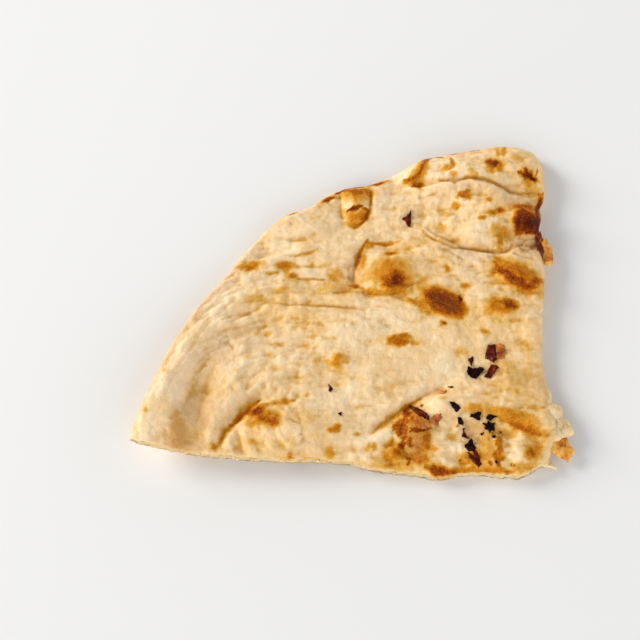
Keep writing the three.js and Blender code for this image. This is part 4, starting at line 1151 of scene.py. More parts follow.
def add(tree: Tree, kind: str, inputs: dict | None = None, **settings: object) -> bpy.types.Node:
    """Adds a node with its settings and links.

    Args:
        tree: The material's nodes.
        kind: Blender's name of the node, without "ShaderNode".
        inputs: For a socket's name or number, a value or another node's output socket.
        **settings: The node's own settings. A colour ramp's stops are pairs of place and colour.

    Returns:
        The node.
    """
    made = tree.nodes.new("ShaderNode" + kind)
    stops = settings.pop("stops", ())
    for name, value in settings.items():
        setattr(made, name, value)
    for key, value in (inputs or {}).items():
        if isinstance(value, Socket):
            tree.links.new(value, made.inputs[key])
        else:
            made.inputs[key].default_value = value
    for index, (place, colour) in enumerate(stops):
        ramp = made.color_ramp.elements
        stop = ramp[index] if index < 2 else ramp.new(place)
        stop.position = place
        stop.color = colour
    return made


def new_material(name: str) -> tuple[Material, Tree]:
    """Makes an empty material.

    Args:
        name: The finish's name.

    Returns:
        The material and its nodes.
    """
    material = bpy.data.materials.new(name)
    material.use_nodes = True
    material.node_tree.nodes.clear()
    return material, material.node_tree


def per_mm(size: float) -> float:
    """Scale of a pattern on metre coordinates whose cells are this many millimetres wide."""
    return 1.0 / (size * MM)


def coat(tree: Tree, finish: object, colour: Socket, roughness: Socket | float, normal: Socket) -> None:
    """Adds the shader of a baked or fried surface and the material's output.

    Args:
        tree: The material's nodes.
        finish: Gives the refraction, the gloss, and how far light spreads inside.
        colour: Its colour.
        roughness: Its roughness.
        normal: Its bent normal.
    """
    shader = add(
        tree,
        "BsdfPrincipled",
        {
            "Base Color": colour,
            "Roughness": roughness,
            "Normal": normal,
            "IOR": finish.ior,
            "Specular IOR Level": finish.specular,
            "Subsurface Weight": finish.subsurface,
            "Subsurface Radius": tuple(reach * MM for reach in finish.light_reach),
            "Subsurface Scale": 1.0,
        },
    )
    add(tree, "OutputMaterial", {"Surface": shader.outputs["BSDF"]})


@dataclass(frozen=True)
class BakedDough:
    """Wheat dough slapped on a hot oven wall and brushed with butter.

    The skin is matt and pale where it stayed moist, dusted with flour on its first side up, and
    grainy gold to glossy brown where blisters touched the heat. Its colour also holds painted shade in
    creases, hollows and folds, and painted highlights on crests and slopes.
    """

    name: str = "baked_naan_dough"
    cream: str = "F3CC94"
    mottle: str = "E6BA80"
    # pale flour tone, also used for painted highlights and for milky clouds
    flour_and_highlight_tone: str = "FFEAC8"
    buttery: str = "EEC684"
    # pinkish grey of moist dough, also the colour of painted shade
    moist_shade_tone: str = "D2A87A"
    crumb: str = "EACB98"
    # dark brown of the painted shade lines in creases, and of the toasted specks
    crease: str = "A5671F"
    browning: tuple[tuple[float, str], ...] = (
        (0.00, "F4D19E"),
        (0.12, "EDC485"),
        (0.23, "E3B058"),
        (0.35, "D58F20"),
        (0.47, "BB6806"),
        (0.59, "964302"),
        (0.71, "6B2501"),
        (0.84, "421505"),
        (1.00, "180A06"),
    )
    ior: float = 1.45
    specular: float = 0.08  # a porous, matt skin sends back less than smooth starch would
    subsurface: float = 0.25
    light_reach: Triple = (2.4, 1.1, 0.4)  # how far light spreads inside the crumb, in millimetres
    grain: float = 0.55  # size of the grains in a browned patch
    ragged: float = 1.7  # size of the bays in a browned patch's edge
    mottling: float = 6.0
    pores: float = 0.5  # real pores are half of this, drawn coarser so that they show
    specks: float = 1.3  # spacing of the toasted specks of bran
    leather: float = 2.1  # size of the skin's small pillows
    line: float = 0.4  # half width of a crease's painted shade line

    def make(self) -> Material:
        """Builds the material.

        Returns:
            The material, which reads the surface's layers from the mesh.
        """
        material, tree = new_material(self.name)
        place = add(tree, "TexCoord").outputs["Object"]
        layer = {kind: add(tree, "Attribute", attribute_name=kind.value).outputs["Fac"] for kind in Layer}
        noises = {}
        for key, size, detail, rough in (
            ("grain", self.grain, 3.0, 0.6),
            ("ragged", self.ragged, 4.0, 0.6),
            ("mottle", self.mottling, 5.0, 0.6),
            ("pores", self.pores, 2.0, 0.5),
            ("specks", self.specks, 1.0, 0.5),
        ):
            pattern = {"Vector": place, "Scale": per_mm(size), "Detail": detail, "Roughness": rough}
            noises[key] = add(tree, "TexNoise", pattern).outputs["Fac"]
        toast = self.browned(tree, layer[Layer.TOAST], noises)
        line = self.painted_crease_shade(tree, layer[Layer.NEAR], layer[Layer.ACROSS])
        colour = self.colour(tree, layer, noises, toast, line)
        roughness = self.roughness(tree, layer, noises, toast)
        coat(tree, self, colour, roughness, self.bump(tree, place, layer, noises, toast, line))
        return material

    def browned(self, tree: Tree, toast: Socket, noises: dict[str, Socket]) -> Socket:
        """Makes the browning grainy inside and ragged at its edges.

        Args:
            tree: The material's nodes.
            toast: The browning from the mesh.
            noises: The noises by name.

        Returns:
            The browning to paint.
        """
        left = add(tree, "Math", {0: 1.0, 1: toast}, operation="SUBTRACT").outputs[0]
        half = add(tree, "Math", {0: toast, 1: left}, operation="MULTIPLY").outputs[0]
        both = add(tree, "Math", {0: half, 1: toast}, operation="MULTIPLY").outputs[0]
        value = toast
        for key, amount in (("grain", 3.0), ("ragged", 2.6)):
            centred = add(tree, "Math", {0: noises[key], 1: 0.5}, operation="SUBTRACT").outputs[0]
            scaled = add(tree, "Math", {0: centred, 1: amount}, operation="MULTIPLY").outputs[0]
            value = add(tree, "Math", {0: scaled, 1: both, 2: value}, operation="MULTIPLY_ADD").outputs[0]
        return add(tree, "Clamp", {"Value": value}).outputs[0]

    def painted_crease_shade(self, tree: Tree, near: Socket, across: Socket) -> Socket:
        """Draws painted shade: the thin dark line at the bottom of a crease.

        Args:
            tree: The material's nodes.
            near: How strongly the crease shows.
            across: Millimetres from it.

        Returns:
            The line, from 0 to 1.
        """
        widths = add(tree, "Math", {0: across, 1: self.line}, operation="DIVIDE").outputs[0]
        square = add(tree, "Math", {0: widths, 1: widths}, operation="MULTIPLY").outputs[0]
        minus = add(tree, "Math", {0: square, 1: -1.0}, operation="MULTIPLY").outputs[0]
        bell = add(tree, "Math", {0: minus}, operation="EXPONENT").outputs[0]
        return add(tree, "Math", {0: bell, 1: near}, operation="MULTIPLY").outputs[0]

    def colour(
        self, tree: Tree, layer: dict[Layer, Socket], noises: dict[str, Socket], toast: Socket, line: Socket
    ) -> Socket:
        """Lays the colours over each other, painted shade and painted highlights among them.

        Args:
            tree: The material's nodes.
            layer: The layers from the mesh.
            noises: The noises by name.
            toast: The browning to paint.
            line: The painted shade line of the nearest crease.

        Returns:
            The colour of the skin or the crumb.
        """
        cloudy = add(tree, "Math", {0: noises["mottle"], 1: 1.4}, operation="MULTIPLY").outputs[0]
        for key, amount in (("ragged", 0.8), ("grain", 0.4)):
            parts = {0: noises[key], 1: amount, 2: cloudy}
            cloudy = add(tree, "Math", parts, operation="MULTIPLY_ADD").outputs[0]
        golden, milky, specks, shown, raw = (
            add(tree, "MapRange", {"Value": source, "From Min": low, "From Max": high}).outputs[0]
            for source, low, high in (
                (cloudy, 1.15, 1.85),
                (cloudy, 1.35, 0.75),
                (noises["specks"], 0.7, 0.8),
                (toast, 0.0, 0.22),
                (toast, 0.5, 0.25),
            )
        )
        stops = tuple((place, srgb(code)) for place, code in self.browning)
        browning = add(tree, "ValToRGB", {"Fac": toast}, stops=stops).outputs["Color"]
        # pinkish grey of moist dough and painted shade, fading out on browned skin
        shade_and_moist = add(tree, "Math", {0: layer[Layer.SHADE_AND_MOIST], 1: raw}, operation="MULTIPLY").outputs[0]
        value = add(tree, "RGB").outputs[0]
        value.default_value = srgb(self.cream)
        for share, weight, over in (
            (golden, 0.66, srgb(self.mottle)),
            (milky, 0.6, srgb(self.flour_and_highlight_tone)),
            (layer[Layer.BUTTER], 0.6, srgb(self.buttery)),
            # flour, and painted highlights on crests and shaded slopes
            (layer[Layer.FLOUR_AND_HIGHLIGHT], 0.7, srgb(self.flour_and_highlight_tone)),
            (shown, 1.0, browning),
            (shade_and_moist, 0.65, srgb(self.moist_shade_tone)),
            (specks, 0.22, srgb(self.crease)),
            # painted shade along the floors of the creases
            (line, 0.55, srgb(self.crease)),
            (layer[Layer.CRUMB], 0.85, srgb(self.crumb)),
        ):
            factor = add(tree, "Math", {0: share, 1: weight}, operation="MULTIPLY").outputs[0]
            sides = {"Factor": factor, 6: value, 7: over}
            value = add(tree, "Mix", sides, data_type="RGBA").outputs[2]
        return value

    def roughness(
        self, tree: Tree, layer: dict[Layer, Socket], noises: dict[str, Socket], toast: Socket
    ) -> Socket:
        """Works out the roughness: lower under butter and on browned skin, higher under flour and its painted
        highlights.

        Args:
            tree: The material's nodes.
            layer: The layers from the mesh.
            noises: The noises by name.
            toast: The browning.

        Returns:
            The roughness.
        """
        dull = {"Value": noises["ragged"], "From Min": 0.3, "From Max": 0.7, "To Min": 0.52, "To Max": 0.66}
        value = add(tree, "MapRange", dull).outputs[0]
        for share, amount in (
            (layer[Layer.BUTTER], -0.14),
            (layer[Layer.FLOUR_AND_HIGHLIGHT], 0.08),
            (toast, -0.28),
            (layer[Layer.CRUMB], 0.25),
        ):
            parts = {0: share, 1: amount, 2: value}
            value = add(tree, "Math", parts, operation="MULTIPLY_ADD").outputs[0]
        return value

    def bump(
        self,
        tree: Tree,
        place: Socket,
        layer: dict[Layer, Socket],
        noises: dict[str, Socket],
        toast: Socket,
        line: Socket,
    ) -> Socket:
        """Adds the relief that is finer than the mesh: pores, small pillows, grains and crease lines.

        Args:
            tree: The material's nodes.
            place: Where on the piece.
            layer: The layers from the mesh.
            noises: The noises by name.
            toast: The browning.
            line: The painted shade line of the nearest crease.

        Returns:
            The bent normal.
        """
        cells = {"Vector": place, "Scale": per_mm(self.leather), "Smoothness": 0.7, "Randomness": 1.0}
        pillows = add(tree, "TexVoronoi", cells, feature="SMOOTH_F1").outputs["Distance"]
        crumb = layer[Layer.CRUMB]
        grains = add(tree, "Math", {0: noises["grain"], 1: toast}, operation="MULTIPLY").outputs[0]
        torn = add(tree, "Math", {0: noises["ragged"], 1: crumb}, operation="MULTIPLY").outputs[0]
        value = add(tree, "Math", {0: noises["pores"], 1: 0.16}, operation="MULTIPLY").outputs[0]
        for share, millimetres in (
            (pillows, -0.22),
            (noises["ragged"], 0.42),
            (grains, 0.5),
            (torn, 0.8),
            (line, -0.3),
        ):
            parts = {0: share, 1: millimetres, 2: value}
            value = add(tree, "Math", parts, operation="MULTIPLY_ADD").outputs[0]
        return add(tree, "Bump", {"Height": value, "Distance": MM, "Strength": 1.0}).outputs["Normal"]


@dataclass(frozen=True)
class FriedOnion:
    """Onion skin fried in the butter on top: a thin, glossy, half clear amber film."""

    name: str = "fried_onion"
    light: str = "DB8C2E"
    deep: str = "B9641A"
    edge: str = "7E360A"
    places: Triple = (0.36, 0.5, 0.66)  # where those colours lie on the blotches' noise, from 0 to 1
    relief: float = 0.12  # height of its fibres in millimetres
    ior: float = 1.45
    roughness: float = 0.3
    specular: float = 0.4
    subsurface: float = 0.25
    light_reach: Triple = (1.6, 0.8, 0.25)
    blotch: float = 3.0  # size of the darker fried patches
    vein: float = 0.7  # spacing of the onion's fibres

    def make(self) -> Material:
        """Builds the material.

        Returns:
            The material.
        """
        material, tree = new_material(self.name)
        place = add(tree, "TexCoord").outputs["Object"]
        drawn = add(tree, "Mapping", {"Vector": place, "Scale": (1.0, 0.3, 1.0)}).outputs[0]
        blotch, vein = (
            add(
                tree,
                "TexNoise",
                {"Vector": where, "Scale": per_mm(size), "Detail": detail, "Roughness": rough},
            ).outputs["Fac"]
            for where, size, detail, rough in ((place, self.blotch, 4.0, 0.6), (drawn, self.vein, 2.0, 0.5))
        )
        codes = (self.light, self.deep, self.edge)
        stops = tuple((at, srgb(code)) for at, code in zip(self.places, codes))
        colour = add(tree, "ValToRGB", {"Fac": blotch}, stops=stops).outputs["Color"]
        both = add(tree, "Math", {0: vein, 1: blotch}, operation="ADD").outputs[0]
        height = add(tree, "Math", {0: both, 1: self.relief}, operation="MULTIPLY").outputs[0]
        bent = {"Height": height, "Distance": MM, "Strength": 1.0}
        normal = add(tree, "Bump", bent).outputs["Normal"]
        gloss = {"Value": vein, "To Min": self.roughness - 0.1, "To Max": self.roughness + 0.15}
        coat(tree, self, colour, add(tree, "MapRange", gloss).outputs[0], normal)
        return material


@dataclass(frozen=True)
class BrownedOnion(FriedOnion):
    """Onion skin fried past amber: a dark red-brown, brittle and shiny flake."""

    name: str = "browned_onion"
    light: str = "842E0E"
    deep: str = "521407"
    edge: str = "260805"
    places: Triple = (0.34, 0.5, 0.68)
    relief: float = 0.1
    roughness: float = 0.32
    specular: float = 0.12
    subsurface: float = 0.08
    light_reach: Triple = (0.8, 0.3, 0.1)
    blotch: float = 1.8
    vein: float = 0.6


@dataclass(frozen=True)
class CharredOnion(FriedOnion):
    """Onion burnt to charcoal: black and matt with a few shiny facets and a reddish brown fringe."""

    name: str = "charred_onion"
    light: str = "34120A"
    deep: str = "120705"
    edge: str = "080404"
    places: Triple = (0.4, 0.55, 0.75)
    relief: float = 0.16
    ior: float = 1.5
    roughness: float = 0.42
    specular: float = 0.05  # soot holds back most of the shine
    subsurface: float = 0.0
    light_reach: Triple = (0.3, 0.1, 0.1)
    blotch: float = 1.0
    vein: float = 0.5


@dataclass(frozen=True)
class SoftCrumb:
    """Baked wheat crumb torn open: pale, matt and porous."""

    name: str = "torn_naan_crumb"
    pale: str = "FAE0B4"
    tan: str = "EABF84"
    ior: float = 1.45
    specular: float = 0.5
    roughness: float = 0.75
    subsurface: float = 0.25
    light_reach: Triple = (1.6, 1.1, 0.6)
    pore: float = 0.7
    patch: float = 2.8  # size of the drier, darker places

    def make(self) -> Material:
        """Builds the material.

        Returns:
            The material.
        """
        material, tree = new_material(self.name)
        place = add(tree, "TexCoord").outputs["Object"]
        pitted = {"Vector": place, "Scale": per_mm(self.pore), "Detail": 4.0, "Roughness": 0.65}
        pores = add(tree, "TexNoise", pitted).outputs["Fac"]
        patchy = {"Vector": place, "Scale": per_mm(self.patch), "Detail": 3.0}
        patches = add(tree, "TexNoise", patchy).outputs["Fac"]
        both = add(tree, "Math", {0: pores, 1: patches}, operation="MULTIPLY").outputs[0]
        stops = ((0.16, srgb(self.tan)), (0.3, srgb(self.pale)))
        colour = add(tree, "ValToRGB", {"Fac": both}, stops=stops).outputs["Color"]
        height = add(tree, "Math", {0: pores, 1: 0.3}, operation="MULTIPLY").outputs[0]
        normal = add(tree, "Bump", {"Height": height, "Distance": MM}).outputs["Normal"]
        coat(tree, self, colour, self.roughness, normal)
        return material


@dataclass(frozen=True)
class Tabletop:
    """Matt white painted board: even, faintly rough, without pattern."""

    name: str = "painted_board"
    white: str = "F1F1F0"
    roughness: float = 0.6
    grain: float = 3.0  # the paint's own grain is finer and would not show

    def make(self) -> Material:
        """Builds the material.

        Returns:
            The material.
        """
        material, tree = new_material(self.name)
        place = add(tree, "TexCoord").outputs["Object"]
        grain = add(tree, "TexNoise", {"Vector": place, "Scale": per_mm(self.grain)}).outputs["Fac"]
        height = add(tree, "Math", {0: grain, 1: 0.02}, operation="MULTIPLY").outputs[0]
        normal = add(tree, "Bump", {"Height": height, "Distance": MM}).outputs["Normal"]
        paint = {"Base Color": srgb(self.white), "Roughness": self.roughness, "Normal": normal}
        shader = add(tree, "BsdfPrincipled", paint)
        add(tree, "OutputMaterial", {"Surface": shader.outputs["BSDF"]})
        return material


# ---------------------------------------------------------------- meshes


def to_frame(points: Field) -> Field:
    """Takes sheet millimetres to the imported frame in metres."""
    return (points + np.array([*SHIFT, 0.0])) * MM


def inside_box(points: Field) -> Field:
    """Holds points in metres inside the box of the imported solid."""
    low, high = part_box(BREAD_NODE)
    return np.clip(points, np.array(low), np.array(high))


def make_piece(name: str, points: Field, faces: list, material: Material) -> Piece:
    """Makes an object of a closed mesh.

    Args:
        name: The piece's name.
        points: Its vertices in sheet millimetres.
        faces: Its faces as vertex numbers.
        material: Its finish.

    Returns:
        The object, smooth shaded.
    """
    mesh = bpy.data.meshes.new(name)
    mesh.from_pydata(inside_box(to_frame(points)).tolist(), [], faces)
    mesh.materials.append(material)
    mesh.shade_smooth()
    mesh.update()
    piece = bpy.data.objects.new(name, mesh)
    bpy.context.scene.collection.objects.link(piece)
    return piece


def joined(parts: Sequence[Mesh]) -> Mesh:
    """Joins meshes into one.

    Args:
        parts: The meshes.

    Returns:
        All their points and faces.
    """
    points, faces, count = [], [], 0
    for mine, sides in parts:
        points.append(mine)
        faces += [[number + count for number in side] for side in sides]
        count += len(mine)
    return np.vstack(points), faces


def fasten(piece: Piece, slot: Slot) -> Piece:
    """Lets a piece ride on the bread's body and stand for its CAD node, and reports it.

    Args:
        piece: The piece.
        slot: The record's finish that it has.

    Returns:
        The piece.
    """
    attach(piece, BODY)
    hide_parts(BREAD_NODE)
    LOG.info("%s: %d faces, slot %s", piece.name, len(piece.data.polygons), slot.value)
    return piece


@dataclass
class DoughSheet:
    """The bread itself: a fine grid between the four sides, its underside, and walls all round."""

    form: DoughForm
    surface: Surface
    finish: BakedDough = field(default_factory=BakedDough)
    across: int = 272  # grid cells along the cut, an even number
    deep: int = 248  # grid cells away from the cut, an even number
    edge_lines: tuple[float, ...] = (0.0, 0.12, 0.3, 0.6, 1.0, 1.5, 2.1, 2.8)  # mm in from a side
    lean: float = 0.2  # how much closer the lines lie at the right, where the skin has more detail
    wall_rows: int = 12
    mean_width: float = 140.0  # for the edge lines' shares
    mean_depth: float = 112.0
    knife_round: float = 0.6  # rounding of the upper edge of the cut
    flattened: float = 0.6  # depth of that rounding as a share of its width
    ragged: float = 0.7  # how far the knife tore the edge
    torn_from: float = 48.0  # X at which the torn corner starts
    torn_more: float = 1.2  # how much more ragged the cut is there
    surroundings: tuple[tuple[int, float], ...] = ((3, 1.2), (9, 0.8))  # grid cells about a place, weight
    easing_from: float = 11.3  # crests higher than this are rounded off
    headroom: float = 0.9
    cut_reach: float = 0.5  # how far round the corner the cut's crumb shows
    thinnest: float = 1.2  # top and underside never come closer
    nicks: Ripple = Ripple(1.5, 61.0)  # fine and coarse tears of the knife
    tears: Ripple = Ripple(4.5, 63.0, 2, 0.8)
    puckering: Ripple = Ripple(5.0, 67.0, 3, 0.45)  # where the rim is drawn in
    under_lumps: Ripple = Ripple(3.0, 71.0, 3, 0.12)
    crumb: Ripple = Ripple(1.6, 73.0, 4, 0.6)  # roughness of the cut's crumb, and its larger bubbles
    bubbles: Ripple = Ripple(2.4, 97.0, 2, 2.6, -0.2)
    side_lumps: Ripple = Ripple(6.0, 79.0)  # coarse and fine lumps of the baked side
    side_grains: Ripple = Ripple(2.2, 101.0, 2, 0.4)
    side_toast: Ripple = Ripple(7.0, 103.0, 3, 1.8, -0.1)  # where the baked side is browned

    def lines(self, cells: int, span: float, lean: float) -> Field:
        """Places grid lines as shares of the way across.

        Args:
            cells: How many cells.
            span: The width they share, in millimetres.
            lean: How much closer they lie at the far end.

        Returns:
            The shares, closest at both ends.
        """
        ends = np.array(self.edge_lines) / span
        t = np.linspace(0.0, 1.0, cells + 1 - 2 * (len(ends) - 1))
        even = (1.0 + lean) * t - lean * t * t
        middle = ends[-1] + even * (1.0 - 2.0 * ends[-1])
        return np.concatenate([ends[:-1], middle, (1.0 - ends[:-1])[::-1]])

    def plan(self) -> Place:
        """Lays the grid in plan and tears its outline a little.

        Returns:
            The places of the grid.
        """
        x, y = self.form.outline.blend(
            self.lines(self.across, self.mean_width, self.lean), self.lines(self.deep, self.mean_depth, 0.0)
        )
        at = self.form.outline.place(x, y)
        torn_over = 10.0  # millimetres along X over which the cut grows more ragged
        tear_reach, pull_reach = 1.2, 2.0  # millimetres inwards over which both fade
        straight = 0.2  # tears hardly bend on their way in
        below = 5.0  # the rim is pulled in towards a place this far below the middle
        more = self.torn_more * smooth((x - self.torn_from) / torn_over)
        torn = self.ragged * (1.0 + more) * np.exp(-at.cut / tear_reach)
        inwards = y * straight
        bite = (np.abs(self.nicks.over(x, inwards)) + np.abs(self.tears.over(x, inwards))) * torn
        pull = np.abs(self.puckering.over(x, y)) * np.exp(-at.rim / pull_reach)
        away = np.hypot(x, y + below)
        return Place(x - pull * x / away, y + bite - pull * (y + below) / away, at.rim, at.cut)

    def build(self) -> Piece:
        """Builds the mesh.

        Returns:
            The bread, with every layer stored at its vertices.
        """
        at = self.plan()
        edge = 1.0 - np.minimum(at.cut / self.knife_round, 1.0)
        rounding = self.knife_round * self.flattened * (1.0 - np.sqrt(np.maximum(1.0 - edge * edge, 0.0)))
        top = self.eased(self.form.top(at) + self.surface.relief(at) - rounding)
        bottom = self.form.bottom(at)
        clear = 0.3  # millimetres off the table at which the underside is as lumpy as it gets
        bottom += np.abs(self.under_lumps.over(at.x, at.y)) * smooth(bottom / clear)
        bottom = np.minimum(bottom, top - self.thinnest)
        loop = self.loop()
        ring = tuple(np.array(loop).T)
        count = top.size
        number = np.arange(count).reshape(top.shape)
        inner = np.zeros(top.shape, bool)
        inner[2:-1:2, 2:-1:2] = True  # every second line
        below = np.full(top.shape, -1)
        below[ring] = count + np.arange(len(loop))
        below[inner] = count + len(loop) + np.arange(int(inner.sum()))
        under = np.stack([at.x, at.y, bottom], axis=-1)
        rows = self.wall(at, top, bottom, ring)
        points = np.vstack(
            [np.stack([at.x, at.y, top], axis=-1).reshape(-1, 3), under[ring], under[inner], *rows]
        )
        first_row = count + len(loop) + int(inner.sum())
        faces = self.top_faces(number) + self.bottom_faces(below)
        faces += self.wall_faces(number[ring], below[ring], first_row, len(loop))
        piece = make_piece("naan_bread_crust", points, faces, self.finish.make())
        self.paint(piece, at, self.hollows(top), ring, inner)
        return fasten(piece, Slot.CRUST)

    def eased(self, height: Field) -> Field:
        """Rounds the highest crests so that they stay under the top of the solid's box.

        Args:
            height: Heights in sheet millimetres.

        Returns:
            The same heights up to where the easing starts, then ever flatter.
        """
        over = np.maximum(height - self.easing_from, 0.0)
        eased = self.easing_from + self.headroom * (1.0 - np.exp(-over / self.headroom))
        return np.where(over > 0, eased, height)

    def hollows(self, top: Field) -> Field:
        """Finds how deep each place of the top lies below its surroundings.

        Args:
            top: Heights of the top.

        Returns:
            Millimetres, below zero where the place stands out.
        """
        tails = 1.7  # where the bell curve of the weights is cut off
        axes = 2  # blurred along one axis, then along the other
        deep = np.zeros(top.shape)
        for cells, weight in self.surroundings:
            weights = np.exp(-np.linspace(-tails, tails, 2 * cells + 1) ** 2)
            weights /= weights.sum()
            level = top
            for _ in range(axes):
                padded = np.pad(level, ((cells, cells), (0, 0)), mode="edge")
                level = sum(w * padded[k : k + level.shape[0]] for k, w in enumerate(weights)).T
            deep += weight * (level - top)
        return deep

    def loop(self) -> list[tuple[int, int]]:
        """Goes once round the outline, counter-clockwise.

        Returns:
            The grid crossings on it.
        """
        low = [(i, 0) for i in range(self.across)]
        right = [(self.across, j) for j in range(self.deep)]
        high = [(i, self.deep) for i in range(self.across, 0, -1)]
        left = [(0, j) for j in range(self.deep, 0, -1)]
        return low + right + high + left

    def wall(self, at: Place, top: Field, bottom: Field, ring: tuple) -> list[Field]:
        """Lays the wall between the top's and the underside's edge, from the top down.

        Args:
            at: The places of the grid.
            top: Heights of the top.
            bottom: Heights of the underside.
            ring: Grid numbers once round the outline.

        Returns:
            The rows' points.
        """
        x, y = at.x[ring], at.y[ring]
        inward = np.stack([np.roll(y, 1) - np.roll(y, -1), np.roll(x, -1) - np.roll(x, 1)], axis=1)
        inward /= np.maximum(np.hypot(*inward.T), 1e-6)[:, None]
        cut = smooth(1.0 - at.cut[ring] / self.cut_reach)
        aside = y * 0.3  # the crumb's noise changes slowly away from the cut
        bubble_depth, hollowed, side_depth = 0.9, 0.25, 0.75  # millimetres
        rows = []
        for row in range(1, self.wall_rows):
            share = row / self.wall_rows
            z = top[ring] * (1.0 - share) + bottom[ring] * share
            middle = math.sin(math.pi * share)
            crumb = np.abs(self.crumb.over(x, aside + z * 1.8))
            cell = smooth(self.bubbles.over(x, aside + z * 2.2))
            depth = (crumb + bubble_depth * cell * middle + hollowed * middle) * cut
            lumps = np.abs(self.side_lumps.over(x + y, z * 1.2 + y))
            lumps += np.abs(self.side_grains.over(x - y, z * 1.5))
            depth += side_depth * lumps * middle * (1.0 - cut)
            rows.append(np.stack([x + inward[:, 0] * depth, y + inward[:, 1] * depth, z], axis=1))
        return rows

    def top_faces(self, number: Field) -> list:
        """Faces of the top."""
        a, b, c, d = number[:-1, :-1], number[1:, :-1], number[1:, 1:], number[:-1, 1:]
        return np.stack([a, b, c, d], axis=-1).reshape(-1, 4).tolist()

    def bottom_faces(self, below: Field) -> list:
        """Makes the underside, which has half as many lines inside and all of them at its edge.

        Args:
            below: Vertex number of each grid crossing on the underside, or -1.

        Returns:
            The faces.
        """
        around = ((0, 0), (0, 1), (0, 2), (1, 2), (2, 2), (2, 1), (2, 0), (1, 0))
        faces = []
        for i in range(0, self.across, 2):
            for j in range(0, self.deep, 2):
                found = [int(below[i + di, j + dj]) for di, dj in around]
                faces.append([number for number in found if number >= 0])
        return faces

    def wall_faces(self, upper: Field, lower: Field, first_row: int, length: int) -> list:
        """Faces of the wall.

        Args:
            upper: Vertex numbers of the top's edge.
            lower: Vertex numbers of the underside's edge.
            first_row: Number of the first vertex of the first row between them.
            length: How many vertices a row has.

        Returns:
            The faces.
        """
        rows = [upper]
        rows += [first_row + row * length + np.arange(length) for row in range(self.wall_rows - 1)]
        rows.append(lower)
        faces = []
        for above, under in zip(rows, rows[1:]):
            faces += np.stack([above, under, np.roll(under, -1), np.roll(above, -1)], axis=1).tolist()
        return faces

    def paint(self, piece: Piece, at: Place, hollow: Field, ring: tuple, inner: Field) -> None:
        """Stores every layer at the vertices.

        Args:
            piece: The bread.
            at: The places of the grid.
            hollow: How deep each place of the top lies below its surroundings.
            ring: Grid numbers once round the outline.
            inner: Which crossings the underside has inside its edge.
        """
        upper = self.surface.upper_layers(at, hollow)
        lower = self.surface.lower_layers(at)
        cut = smooth(1.0 - at.cut[ring] / self.cut_reach)
        baked = smooth(upper[Layer.TOAST][ring] / 0.5 - 0.3)  # where browning runs over the edge
        skin = 0.25  # share of the wall's height before the crumb shows in full
        hidden, browned = 0.75, 0.24  # toast that the cut takes away, and that the baked side gets
        climb = 3.0  # millimetres by which the browned patches move from the wall's top to its foot
        for layer in Layer:
            rows = []
            for row in range(1, self.wall_rows):
                share = row / self.wall_rows
                value = upper[layer][ring] * (1.0 - share) + lower[layer][ring] * share
                if layer is Layer.CRUMB:
                    value = cut * min(1.0, share / skin) * (1.0 - baked)
                elif layer is Layer.TOAST:
                    value = value * (1.0 - hidden * cut * (1.0 - baked))
                    patchy = smooth(self.side_toast.over(at.x[ring], at.y[ring] + climb * share))
                    bulge = math.sin(math.pi * share)
                    value = value + browned * patchy * bulge * (1.0 - cut) * (1.0 - value)
                rows.append(value)
            values = np.concatenate([upper[layer].ravel(), lower[layer][ring], lower[layer][inner], *rows])
            stored = piece.data.attributes.new(layer.value, "FLOAT", "POINT")
            stored.data.foreach_set("value", values.astype(np.float32))


@dataclass(frozen=True)
class Flake:
    """A thin bit of onion: its middle, its corners about it, its thickness, and how it lies."""

    at: Pair
    outline: Path
    thick: float = 0.6
    curl: float = 0.3  # how far its ends stand up
    roll: float = 0.0  # degrees about its own X, away from the skin
    pitch: float = 0.0  # degrees about its own Y
    sink: float = 0.12  # how deep it is baked into the skin


